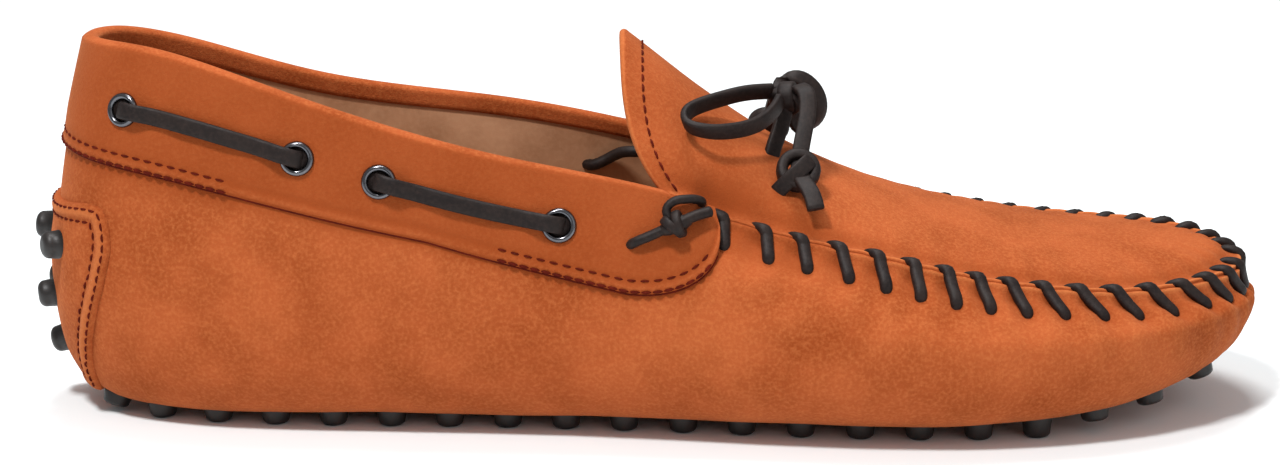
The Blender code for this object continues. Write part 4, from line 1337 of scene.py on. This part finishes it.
@dataclass
class HeelPatch:
    """The heel counter patch: a rolled edge, two sewn lines, and studs of rubber through it."""

    last: Last
    finishes: Materials
    rows: int = 90
    columns: int = 110
    roll: float = 1.3 * MM
    outline: Tuple[Place, ...] = (
        Place(0.0270, 0.280), Place(0.0320, 0.330), Place(0.0360, 0.405), Place(0.0415, 0.480),
        Place(0.0467, 0.550), Place(0.0505, 0.620), Place(0.0525, 0.675),
    )
    top: float = 0.712
    corner: float = 0.115
    dip: float = 0.045
    stud_rows: Tuple[Tuple[float, int], ...] = ((0.593, 3), (0.485, 2), (0.385, 1))
    stud_spacing: float = 0.0235

    def half_width(self, up: Array) -> Array:
        """Half of the patch's width round the foot at a height, with its rounded top corners."""
        ups = [p.up for p in self.outline]
        half = np.interp(up, ups, [p.round for p in self.outline])
        corner = np.clip((up - (self.top - self.corner)) / self.corner, 0, 1)
        return half * (1 - 0.28 * (1 - np.sqrt(np.clip(1 - corner**2, 0, 1))))

    def build(self) -> bpy.types.Object:
        """Makes the patch, and keeps its points for its two sewn lines."""
        low = self.outline[0].up
        t = np.linspace(0, 1, self.rows)
        s = np.linspace(-1, 1, self.columns)
        top = self.top - self.dip * (1 - s**2) - 0.020 * s**8
        up = low + (top - low)[None, :] * t[:, None]
        around = self.half_width(up) * s[None, :]
        base = self.last.point(around, up)
        out = self.last.normal(around, up)
        border = self.border_distance(base)
        lift = self.profile(border)
        points = base + out * lift[..., None]
        skirt = base - out * 0.4 * MM
        grid = np.concatenate([points.reshape(-1, 3), skirt.reshape(-1, 3)])
        count = self.rows * self.columns
        faces = []
        for row in range(self.rows - 1):
            for k in range(self.columns - 1):
                a = row * self.columns + k
                quad = (a, a + 1, a + 1 + self.columns, a + self.columns)
                faces += [quad, tuple(i + count for i in reversed(quad))]
        loop = [k for k in range(self.columns)]
        loop += [row * self.columns + self.columns - 1 for row in range(1, self.rows)]
        loop += [(self.rows - 1) * self.columns + k for k in range(self.columns - 2, -1, -1)]
        loop += [row * self.columns for row in range(self.rows - 2, 0, -1)]
        for i, a in enumerate(loop):
            b = loop[(i + 1) % len(loop)]
            faces.append((a, b, b + count, a + count))
        # Paler on the crest of the rolled edge; painted shade in the groove 4 mm inside the edge.
        rub = 0.5 + 0.25 * hump(border - 2.2 * MM, 1.0 * MM)
        rub = rub - 0.2 * hump(border - 4.0 * MM, 0.8 * MM)
        marks = np.concatenate([rub.ravel(), np.full(count, 0.5)])
        piece = add_piece(
            "heel_patch_suede", (grid, faces), self.finishes.suede, ["heel_patch"],
            turn_out=True, rub=marks,
        )
        self.points, self.out, self.border = points, out, border
        return piece

    def border_distance(self, base: Array) -> Array:
        """Distance of each point from the patch's outline, along its face."""
        edge = np.concatenate([base[0], base[-1], base[:, 0], base[:, -1]])
        tree = KDTree(len(edge))
        for i, place in enumerate(edge):
            tree.insert(Vector(place), i)
        tree.balance()
        flat = base.reshape(-1, 3)
        found = np.array([tree.find(Vector(place))[2] for place in flat])
        return found.reshape(base.shape[:2])

    def profile(self, border: Array) -> Array:
        """Height over the heel at a distance from the outline: a roll, a groove, a second roll."""
        rise = np.sqrt(np.clip(1 - (1 - np.clip(border / self.roll, 0, 1)) ** 2, 0, 1))
        height = 0.3 * MM + 1.0 * MM * rise + 0.45 * MM * hump(border - 2.2 * MM, 1.1 * MM)
        height -= 0.35 * MM * hump(border - 4.0 * MM, 0.55 * MM)
        return height + 0.5 * MM * smooth_step((border - 5 * MM) / (6 * MM))

    def sewn_lines(self) -> List[Shape]:
        """The two stitched lines inside the patch's edge."""
        shapes = []
        for inset in (0.75 * MM, 3.9 * MM):
            line, out = self.inset_line(inset)
            shapes += sew(line, out, 2.5 * MM, 1.9 * MM)
        return shapes

    def inset_line(self, inset: float) -> Tuple[Array, Array]:
        """A line up one side of the patch, over its top and down the other, inside its edge."""
        rows, columns = self.border.shape
        left, right, over = [], [], []
        start = int(rows * 0.06)
        for row in range(start, rows):
            inside = np.flatnonzero(self.border[row] > inset)
            if len(inside) > 3:
                left.append((row, inside[0]))
                right.append((row, inside[-1]))
        last_row, first, final = left[-1][0], left[-1][1], right[-1][1]
        over = [(last_row, k) for k in range(first + 1, final)]
        path = left + over + right[::-1]
        line = np.array([self.points[i] for i in path]) - 0.05 * MM
        out = np.array([self.out[i] for i in path])
        keep = [0]
        for i in range(1, len(line)):
            if np.linalg.norm(line[i] - line[keep[-1]]) > 0.8 * MM:
                keep.append(i)
        return line[keep], out[keep]

    def studs(self) -> List[Tuple[Array, Array]]:
        """Places of the studs on the patch, with the way that each points."""
        found = []
        for up, count in self.stud_rows:
            for k in range(count):
                around = (k - (count - 1) / 2) * self.stud_spacing
                found.append((self.last.point(around, up), self.last.normal(around, up)))
        return found


@dataclass
class Studs:
    """Round rubber studs, under the foot and on the heel, each with a softened tip."""

    upper: Upper
    finishes: Materials
    radius: float = 3.5 * MM
    tip: float = 3.15 * MM
    bevel: float = 1.4 * MM
    sides: int = 24
    pitch: float = 13.6 * MM
    spread: float = 15.0 * MM
    clearance: float = 0.3 * MM
    edge_up: float = 0.26
    flat_tolerance: float = 0.6 * MM
    toe_from: float = 0.150
    toe_share: float = 0.68
    corner: Place = Place(0.030, 0.240)

    def stud(self, height: float, sink: float, bevel: float) -> bpy.types.Object:
        """One stud standing on the origin: a slight taper, a rounded shoulder and a flat tip."""
        arc = np.linspace(0.0, math.pi / 2, 8)
        profile = [(self.radius, -sink), (self.radius, 0.0)]
        profile += [
            (self.tip - bevel * (1 - math.cos(a)), height - bevel * 0.8 * (1 - math.sin(a)))
            for a in arc
        ]
        return spun_up(profile, self.sides)

    def places(self) -> List[Tuple[Array, Array, float]]:
        """Places of the studs under the foot, the way that each points and its height."""
        last = self.upper.last
        edge = last.point(np.linspace(0.0, 1.0, 361), np.full(361, self.edge_up))
        margin = self.radius + self.clearance
        outer, inner = edge[:181], edge[180:][::-1]
        outer = outer[outer[:, 0].argmin() : outer[:, 0].argmax() + 1]
        inner = inner[inner[:, 0].argmin() : inner[:, 0].argmax() + 1]
        first = math.ceil((edge[:, 0].min() + margin) / self.pitch)
        end = math.floor((edge[:, 0].max() - margin) / self.pitch)
        found = []
        for row in range(first, end + 1):
            x = row * self.pitch
            low = np.interp(x, outer[:, 0], outer[:, 1]) + margin
            high = np.interp(x, inner[:, 0], inner[:, 1]) - margin
            many = max(round((high - low) / self.spread) + 1, 1)
            for y in np.linspace(low, high, many) if many > 1 else [(low + high) / 2]:
                below = Vector((x, y, -0.1))
                hit, normal, _, _ = self.upper.tree.ray_cast(below, Vector((0, 0, 1)))
                place, out, height = np.array(hit), np.array(normal), last.stud_height
                if place[2] - last.stud_height < self.flat_tolerance:
                    out, height = np.array([0.0, 0.0, -1.0]), float(place[2])
                elif x > self.toe_from:
                    height *= self.toe_share
                found.append((place, out if out[2] < 0 else -out, height))
        for side in Side:
            around = side.turn(self.corner.round)
            place, out = last.point(around, self.corner.up), last.normal(around, self.corner.up)
            found.append((place, out, 2.6 * MM))
        return found

    def build_sole(self) -> bpy.types.Object:
        """The studs under the foot, as one joined piece."""
        models: Dict[float, bpy.types.Object] = {}
        parts = []
        for place, out, height in self.places():
            height = round(height, 5)
            if height not in models:
                models[height] = self.stud(height, 3.4 * MM, self.bevel)
            parts.append(copy_to(models[height], "sole_stud", place, out))
        for model in models.values():
            bpy.data.objects.remove(model)
        return dress(
            merged("sole_studs", parts), self.finishes.rubber, ["rubber_sole"]
        )

    def build_heel(self, patch: HeelPatch) -> bpy.types.Object:
        """The studs on the heel patch, as one joined piece."""
        plain = self.stud(1.5 * MM + self.upper.last.stud_height, -0.4 * MM, 2.1 * MM)
        parts = [copy_to(plain, "heel_stud", place, out) for place, out in patch.studs()]
        bpy.data.objects.remove(plain)
        return dress(
            merged("heel_studs_rubber", parts), self.finishes.rubber, ["heel_studs"]
        )


def build_insole(upper: Upper) -> bpy.types.Object:
    """The footbed: a pressed leather sheet over the rubber, its edge turned down."""
    last = upper.last
    around = np.arange(240) / 240
    top_depth = upper.wall + 0.3 * MM + 1.2 * MM + 0.3 * MM + 2.6 * MM
    rows = [(up, top_depth) for up in np.linspace(0.004, 0.315, 22)]
    rows += [(0.320, top_depth - 0.5 * MM), (0.323, top_depth - 2.4 * MM)]
    points = []
    for up, depth in rows:
        points.append(last.point(around, up) - last.normal(around, up) * depth)
    spine = last.spine_point(around)
    spine[:, 2] += top_depth
    points = np.array([spine, *points])
    count = len(around)
    faces = []
    for row in range(len(points) - 1):
        for k in range(count):
            m = (k + 1) % count
            low, high = row * count, (row + 1) * count
            faces.append((low + k, high + k, high + m, low + m))
    return add_piece(
        "insole_footbed", (points.reshape(-1, 3), faces), upper.finishes.footbed,
        ["insole"], weld=True,
    )


@dataclass
class SideLace:
    """Eyelets in the band and the flat lace that runs between them, on both sides."""

    band: CollarBand
    finishes: Materials
    eyelet: float = 4.0 * MM
    bore: float = 2.4 * MM
    rise: float = 1.0 * MM
    width: float = 3.9 * MM
    thickness: float = 1.6 * MM

    def on_band(self, around: Array, up: Array, over: Array) -> Array:
        """Points at a height over the band's face."""
        last = self.band.upper.last
        out = last.normal(around, up)
        height = self.band.step + np.asarray(over, float)
        return last.point(around, up) + out * height[..., None]

    def build(self) -> None:
        """Makes the eyelets and the bars of lace."""
        model = self.ring()
        for side in Side:
            for number, place in enumerate(EYELETS, start=1):
                self.set_ring(model, side, number, place)
            for word, (start, end) in {"rear": EYELETS[:2], "front": EYELETS[2:]}.items():
                add_piece(
                    f"side_lace_{side.word}_{word}", self.bar(start, end, side),
                    self.finishes.lace, [f"lace_bar_{side.word}_{word}"], turn_out=True,
                )
        bpy.data.objects.remove(model)

    def ring(self) -> bpy.types.Object:
        """One rolled eyelet, its axis up: a circle extruded through the profile of the roll."""
        middle, half = (self.eyelet + self.bore) / 2, (self.eyelet - self.bore) / 2
        profile = [(self.bore, -1.4 * MM)]
        for angle in np.linspace(math.pi, 0, 9):
            rise = 0.15 * MM + self.rise * math.sin(angle)
            profile.append((middle + half * math.cos(angle), rise))
        profile += [(self.eyelet - 0.2 * MM, -0.2 * MM), (self.bore + 0.5 * MM, -0.3 * MM)]
        profile += [(self.bore + 0.5 * MM, -1.4 * MM)]
        return spun_up(profile, 36, hollow=True)

    def set_ring(self, model: bpy.types.Object, side: Side, number: int, place: Place) -> None:
        """Sets a copy of the eyelet in the band at its place."""
        around = side.turn(place.round)
        centre = self.on_band(around, place.up, np.array(0.0))
        out = self.band.upper.last.normal(around, place.up)
        piece = copy_to(model, f"eyelet_ring_{side.word}_{number}", centre, out)
        dress(piece, self.finishes.metal, [f"eyelet_{side.word}_{number}"])

    def bar(self, start: Place, end: Place, side: Side) -> Shape:
        """The flat lace between two eyelets, diving into each, over a dark disc in each bore."""
        ends = [self.on_band(side.turn(p.round), p.up, np.array(0.0)) for p in (start, end)]
        run = float(np.linalg.norm(ends[1] - ends[0]))
        t = self.thickness
        dive = (
            (-0.7 * MM, -1.3 * MM), (-0.6 * MM, 0.1 * MM), (0.0 * MM, 1.10 * MM),
            (1.4 * MM, self.rise + t * 0.50), (self.eyelet * 0.9, self.rise + t * 0.62),
            (self.eyelet * 1.7, 0.95 * MM),
        )
        inner = [(run * share, t * 0.62) for share in (0.36, 0.5, 0.64)]
        route = list(dive) + inner + [(run - far, height) for far, height in reversed(dive)]
        share = np.array([far / run for far, _ in route])
        around = side.turn(start.round) + (side.turn(end.round) - side.turn(start.round)) * share
        up = start.up + (end.up - start.up) * share
        centres = self.on_band(around, up, np.array([height for _, height in route]))
        path = smooth_path(centres, 0.8 * MM)
        out = np.array(self.band.upper.last.normal(float(around.mean()), float(up.mean())))
        across = np.cross(out, ends[1] - ends[0])
        strap = sweep(path, across, self.width, self.thickness, sides=14, squareness=4.0)
        # Dark discs in both bores give the holes' depth as painted shade.
        hollows = [self.hollow(p, side) for p in (start, end)]
        return joined([strap, *hollows])

    def hollow(self, place: Place, side: Side, turns: int = 24) -> Shape:
        """A dark disc of lace finish in an eyelet's bore under the strap: the lace going down the
        hole, and painted shade for the hole's depth.
        """
        around = side.turn(place.round)
        centre = self.on_band(around, place.up, np.array(0.32 * MM))
        out = self.band.upper.last.normal(around, place.up)
        first = unit(np.cross(out, (0.0, 0.0, 1.0)))
        angle = 2 * math.pi * np.arange(turns) / turns
        way = np.cos(angle)[:, None] * first + np.sin(angle)[:, None] * np.cross(out, first)
        radius = self.bore + 0.25 * MM
        points = np.vstack([centre + way * radius, centre + way * radius - out * MM])
        faces = [tuple(range(turns)), tuple(reversed(range(turns, 2 * turns)))]
        faces += [(k, (k + 1) % turns, turns + (k + 1) % turns, turns + k) for k in range(turns)]
        return points, faces


CORNER_LACE = (
    FormPoint(0.2385, 0.829, -0.0006),
    FormPoint(0.2400, 0.835, 0.0020),
    FormPoint(0.2425, 0.845, 0.0026),
    FormPoint(0.2475, 0.865, 0.0030),
    FormPoint(0.2520, 0.885, 0.0034),
    FormPoint(0.2565, 0.903, 0.0036),
)
CORNER_KNOT = FormPoint(0.2565, 0.903, 0.0037)
CORNER_ARC = (
    FormPoint(0.2550, 0.915, 0.0034),
    FormPoint(0.2543, 0.945, 0.0034),
    FormPoint(0.2575, 0.972, 0.0038),
    FormPoint(0.2620, 0.987, 0.0037),
    FormPoint(0.2655, 0.996, 0.0033),
    FormPoint(0.2680, 1.000, 0.0024),
    FormPoint(0.2688, 1.000, 0.0000),
)
CORNER_TAIL = (
    FormPoint(0.2575, 0.908, 0.0040),
    FormPoint(0.2618, 0.930, 0.0041),
    FormPoint(0.2655, 0.948, 0.0038),
    FormPoint(0.2702, 0.969, 0.0035),
)
TONGUE_LACE = (
    FormPoint(0.2205, 0.834, -0.0016),
    FormPoint(0.2225, 0.842, -0.0036),
    FormPoint(0.2290, 0.875, -0.0043),
    FormPoint(0.2360, 0.918, -0.0055),
    FormPoint(0.2425, 0.945, -0.0070),
    FormPoint(0.2510, 0.955, -0.0062),
    FormPoint(0.2590, 0.940, -0.0041),
)


@dataclass
class CornerLaces:
    """The knotted round lace at each corner of the tongue, and what shows of it inside."""

    last: Last
    finishes: Materials
    diameter: float = 2.5 * MM
    tail_diameter: float = 2.7 * MM
    step: float = 0.7 * MM

    def build(self) -> None:
        """Makes both corners."""
        for side in Side:
            word = side.word
            for name, route, size, nodes in (
                ("corner_lace", CORNER_LACE, self.diameter, [f"corner_lace_{word}"]),
                ("corner_arc", CORNER_ARC, self.diameter * 0.9, [f"corner_arc_{word}"]),
                ("corner_tail", CORNER_TAIL, self.tail_diameter, [f"corner_tail_{word}"]),
                ("tongue_lace", TONGUE_LACE, self.diameter * 1.2, [f"tongue_lace_{word}"]),
            ):
                points = np.array([self.last.over(place, side) for place in route])
                shape = self.cord(points, size)
                add_piece(
                    f"{name}_cord_{word}", shape, self.finishes.lace, nodes, turn_out=True
                )
            add_piece(
                f"corner_knot_lace_{word}", self.knot(side), self.finishes.lace,
                [f"corner_knot_{word}"], turn_out=True,
            )

    def cord(self, points: Array, size: float) -> Shape:
        """A round cord through the points."""
        path = smooth_path(points, self.step)
        across = np.array([0.15, 1.0, 0.1])
        return sweep(path, across, size, size * 0.9, sides=12, squareness=2.3, dome=0.15)

    def knot(self, side: Side) -> Shape:
        """The overhand knot: two turns of the cord round a small core."""
        centre = self.last.over(CORNER_KNOT, side)
        out = self.last.normal(side.turn(CORNER_KNOT.round), CORNER_KNOT.up)
        along = unit(self.last.over(CORNER_TAIL[-1], side) - self.last.over(CORNER_LACE[2], side))
        aside = unit(np.cross(out, along))
        shapes = []
        for tilt, shift, radius in ((0.55, -0.9, 2.15), (-0.15, 0.75, 2.3)):
            axis = unit(along + aside * tilt + out * 0.25)
            ring = ring_solid(
                centre + along * shift * MM, axis, radius * MM, self.diameter * 0.86,
                self.diameter * 0.72,
            )
            shapes.append(ring)
        core = sweep(
            np.array([centre - along * 2 * MM, centre, centre + along * 2 * MM]), aside,
            3.4 * MM, 3.2 * MM, dome=0.6,
        )
        return joined([*shapes, core])


class Strap(NamedTuple):
    """A flat lace: the nodes it stands for, the way across it and its listed points."""

    name: str
    nodes: Tuple[str, ...]
    across: Point3
    route: Tuple[Point3, ...]


BOW_LOOPS = (
    Strap(
        "bow_loop_outer_lace",
        ("bow_loop_outer",),
        (-0.25, -0.55, 0.80),
        (
            (0.1428, -0.0054, 0.0759),
            (0.1370, -0.0090, 0.0762),
            (0.1310, -0.0130, 0.0756),
            (0.1260, -0.0170, 0.0748),
            (0.1230, -0.0210, 0.0736),
            (0.1232, -0.0245, 0.0720),
            (0.1270, -0.0260, 0.0709),
            (0.1330, -0.0240, 0.0704),
            (0.1390, -0.0190, 0.0708),
            (0.1432, -0.0125, 0.0725),
            (0.1449, -0.0077, 0.0740),
        ),
    ),
    Strap(
        "bow_loop_inner_lace",
        ("bow_loop_inner",),
        (0.65, 0.65, 0.3),
        (
            (0.1452, 0.0004, 0.0748),
            (0.1462, 0.0030, 0.0764),
            (0.1490, 0.0044, 0.0772),
            (0.1531, 0.0052, 0.0749),
            (0.1551, 0.0058, 0.0706),
            (0.1545, 0.0062, 0.0668),
            (0.1522, 0.0058, 0.0648),
            (0.1496, 0.0046, 0.0660),
            (0.1486, 0.0036, 0.0687),
            (0.1483, 0.0018, 0.0712),
            (0.1474, -0.0012, 0.0736),
        ),
    ),
)
BOW_STEMS = (
    Strap(
        "bow_stem_outer_lace",
        ("bow_stem_outer",),
        (0.8, 0.5, -0.2),
        (
            (0.1426, -0.0122, 0.0604),
            (0.1436, -0.0106, 0.0640),
            (0.1446, -0.0090, 0.0665),
            (0.1458, -0.0064, 0.0698),
            (0.1464, -0.0046, 0.0722),
        ),
    ),
    Strap(
        "bow_stem_inner_lace",
        ("bow_stem_inner",),
        (0.8, -0.5, -0.2),
        (
            (0.1422, 0.0100, 0.0612),
            (0.1432, 0.0078, 0.0649),
            (0.1440, 0.0056, 0.0670),
            (0.1451, 0.0020, 0.0698),
            (0.1460, 0.0000, 0.0718),
        ),
    ),
)
LACE_ENDS = (
    Strap(
        "lace_end_outer_strap",
        ("lace_end_outer", "lace_tail_outer"),
        (1.0, 0.1, 0.1),
        (
            (0.1494, -0.0052, 0.0768),
            (0.1508, -0.0078, 0.0762),
            (0.1513, -0.0102, 0.0736),
            (0.1506, -0.0134, 0.0693),
            (0.1495, -0.0167, 0.0645),
            (0.1490, -0.0200, 0.0606),
            (0.1502, -0.0250, 0.0582),
            (0.1514, -0.0275, 0.0566),
            (0.1524, -0.0302, 0.0536),
        ),
    ),
    Strap(
        "lace_end_inner_strap",
        ("lace_end_inner", "lace_tail_inner"),
        (1.0, 0.0, 0.1),
        (
            (0.1456, 0.0006, 0.0748),
            (0.1452, 0.0024, 0.0744),
            (0.1448, 0.0064, 0.0724),
            (0.1443, 0.0120, 0.0684),
            (0.1438, 0.0177, 0.0643),
            (0.1436, 0.0225, 0.0620),
            (0.1436, 0.0276, 0.0598),
            (0.1436, 0.0300, 0.0586),
            (0.1436, 0.0322, 0.0572),
        ),
    ),
)
BOW_CENTRE = (0.1470, -0.0030, 0.0740)
END_KNOTS = {
    Side.OUTER: ((0.1488, -0.0200, 0.0603), (0.05, -0.80, 0.60)),
    Side.INNER: ((0.1436, 0.0225, 0.0619), (0.05, 0.80, 0.60)),
}


@dataclass
class Bow:
    """The bow on the tongue: stems, knot, two loops, and two knotted ends of flat lace."""

    finishes: Materials
    width: float = 4.0 * MM
    thickness: float = 1.7 * MM
    step: float = 0.9 * MM

    def strap(self, strap: Strap) -> Tuple[bpy.types.Object, Array]:
        """Makes one flat lace, and gives the line that it follows."""
        path = smooth_path(np.array(strap.route), self.step)
        shape = sweep(
            path, strap.across, self.width, self.thickness, sides=14, squareness=4.5, dome=0.1
        )
        piece = add_piece(
            strap.name, shape, self.finishes.lace, strap.nodes, turn_out=True
        )
        return piece, path

    def build(self) -> None:
        """Makes the bow, and its free laces with their end knots."""
        knot = self.knot()
        for stem in BOW_STEMS:
            self.strap(stem)
        for loop in BOW_LOOPS:
            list(self.strap(loop))
        for (side, (centre, out)), end in zip(END_KNOTS.items(), LACE_ENDS):
            knot_piece = self.end_knot(side, np.array(centre), np.array(out))
            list(self.strap(end))

    def knot(self) -> bpy.types.Object:
        """The bow's knot: the lace wound twice round the meeting straps."""
        centre = np.array(BOW_CENTRE)
        second = centre + np.array((0.6, -0.4, -0.6)) * MM
        shapes = [
            ring_solid(centre, (0.95, -0.25, 0.1), 2.9 * MM, 4.0 * MM, 1.7 * MM),
            ring_solid(second, (0.55, 0.75, 0.35), 2.6 * MM, 3.6 * MM, 1.6 * MM),
            sweep(
                np.array([centre - (2.4 * MM, 0, 0), centre, centre + (2.4 * MM, 0, 0)]),
                (0.0, 1.0, 0.0), 5.0 * MM, 4.6 * MM, dome=0.5,
            ),
        ]
        return add_piece(
            "bow_knot_lace", joined(shapes), self.finishes.lace, ["bow_knot"], turn_out=True
        )

    def end_knot(self, side: Side, centre: Array, out: Array) -> bpy.types.Object:
        """An overhand knot in a lace's end: an open ring with a second turn behind it."""
        up, front = np.array((0.0, 0.24, 0.97)), np.array((0.0, -0.97, 0.24))
        mirrored = np.array((1.0, -side.value, 1.0))
        route = (
            (2.6, 2.2, 0.6), (1.2, 1.0, 2.2), (-1.6, -1.6, 2.6),
            (-4.2, -4.2, 1.8), (-5.2, -5.6, 0.2), (-4.0, -5.6, -1.2),
        )
        wrap = []
        for forward, above, out_front in route:
            step = np.array((forward, 0.0, 0.0)) + up * above + front * out_front
            wrap.append(centre + step * mirrored * MM)
        path = smooth_path(np.array(wrap), self.step)
        across = (np.array((0.7, 0.0, 0.0)) - up * 0.7) * mirrored
        width = self.width * 0.95
        shapes = [
            ring_solid(centre, out, 3.8 * MM, 4.0 * MM, 2.7 * MM),
            sweep(path, across, width, self.thickness, sides=14, squareness=4.5),
        ]
        return add_piece(
            f"end_knot_lace_{side.word}", joined(shapes), self.finishes.lace,
            [f"end_knot_{side.word}"], turn_out=True,
        )


@dataclass
class Stage:
    """The pale floor, the soft studio light and the camera."""

    target: Point3 = (0.1124, 0.0, 0.0406)
    distance: float = 0.750
    elevation: float = 14.0
    focal_pixels: float = 3158.0
    sensor: float = 36.0
    floor_colour: str = "#F0F5F6"

    def build(self) -> None:
        """Makes the camera, the floor and the lights."""
        self.camera()
        self.floor()
        self.light("key", (-0.22, -0.54, 1.12), 0.16, 13.6)
        self.light("fill", (0.75, -0.65, 0.55), 0.9, 1.8)
        self.light("top", (0.10, 0.25, 1.10), 0.4, 8.6)
        world = bpy.data.worlds.new("studio")
        world.use_nodes = True
        background = world.node_tree.nodes["Background"]
        background.inputs["Color"].default_value = linear("#FBFBFC")
        background.inputs["Strength"].default_value = 0.36
        bpy.context.scene.world = world
        bpy.context.scene.view_settings.view_transform = "Standard"

    def camera(self) -> None:
        """Sets the camera at the photograph's angle, without depth of field."""
        lens = bpy.data.cameras.new("photo_camera")
        lens.sensor_width = self.sensor
        lens.lens = self.focal_pixels / PHOTO_WIDTH * self.sensor
        lens.clip_start = 0.01
        camera = bpy.data.objects.new("photo_camera", lens)
        bpy.context.scene.collection.objects.link(camera)
        rise = math.radians(self.elevation)
        offset = Vector((0.0, -math.cos(rise), math.sin(rise))) * self.distance
        camera.location = Vector(self.target) + offset
        camera.rotation_euler = (-offset).to_track_quat("-Z", "Y").to_euler()
        bpy.context.scene.camera = camera

    def floor(self) -> None:
        """Lays a wide pale sheet under the studs."""
        bpy.ops.object.select_all(action="DESELECT")
        bpy.ops.mesh.primitive_plane_add(size=12.0, location=(0.0, 0.0, 0.0))
        bpy.ops.transform.translate(value=(0.0, 0.0, -0.05 * MM))
        floor = bpy.context.object
        floor.name = "studio_floor"
        # Matt white studio paper: nearly white, without gloss, so that only the shadow shows
        made = bpy.data.materials.new("matt_paper")
        made.use_nodes = True
        shader = made.node_tree.nodes["Principled BSDF"]
        shader.inputs["Base Color"].default_value = linear(self.floor_colour)
        shader.inputs["Roughness"].default_value = 0.9
        floor.data.materials.append(made)

    def light(self, name: str, place: Point3, size: float, power: float) -> None:
        """Hangs a soft square light that faces the shoe."""
        lamp = bpy.data.lights.new(name, "AREA")
        lamp.size = size
        lamp.energy = power
        thing = bpy.data.objects.new(name, lamp)
        bpy.context.scene.collection.objects.link(thing)
        thing.location = place
        way = Vector(self.target) - Vector(place)
        thing.rotation_euler = way.to_track_quat("-Z", "Y").to_euler()


def sew_thread(band: CollarBand, patch: HeelPatch, upper: Upper) -> bpy.types.Object:
    """All the fine sewing: the band's lines, the tongue's line and the heel patch's two, with the
    dark line of painted shadow along the band's edge.
    """
    shapes = band.sewing()
    across = np.linspace(-0.972, 0.972, 240)
    forward = np.full(240, 0.0215)
    tongue = upper.last.plug(forward, across)
    tongue_out = upper.last.plug_normal(forward, across)
    shapes += sew(tongue + tongue_out * 0.05 * MM, tongue_out, 2.9 * MM, 2.2 * MM)
    shapes += patch.sewn_lines()
    return add_piece("sewing_thread", joined(shapes), upper.finishes.thread, turn_out=True)


def main() -> None:
    """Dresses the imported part, piece by piece."""
    logging.basicConfig(level=logging.INFO, format="%(name)s: %(message)s")
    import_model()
    Stage().build()
    finishes = Materials()
    last = Last()
    Bow(finishes).build()
    CornerLaces(last, finishes).build()
    upper = Upper(last, finishes)
    upper.build()
    WhipStitches(upper).build()
    band = CollarBand(upper)
    band.build()
    patch = HeelPatch(last, finishes)
    patch.build()
    studs = Studs(upper, finishes)
    studs.build_sole()
    studs.build_heel(patch)
    build_insole(upper)
    SideLace(band, finishes).build()
    sew_thread(band, patch, upper)


if __name__ == "__main__":
    main()
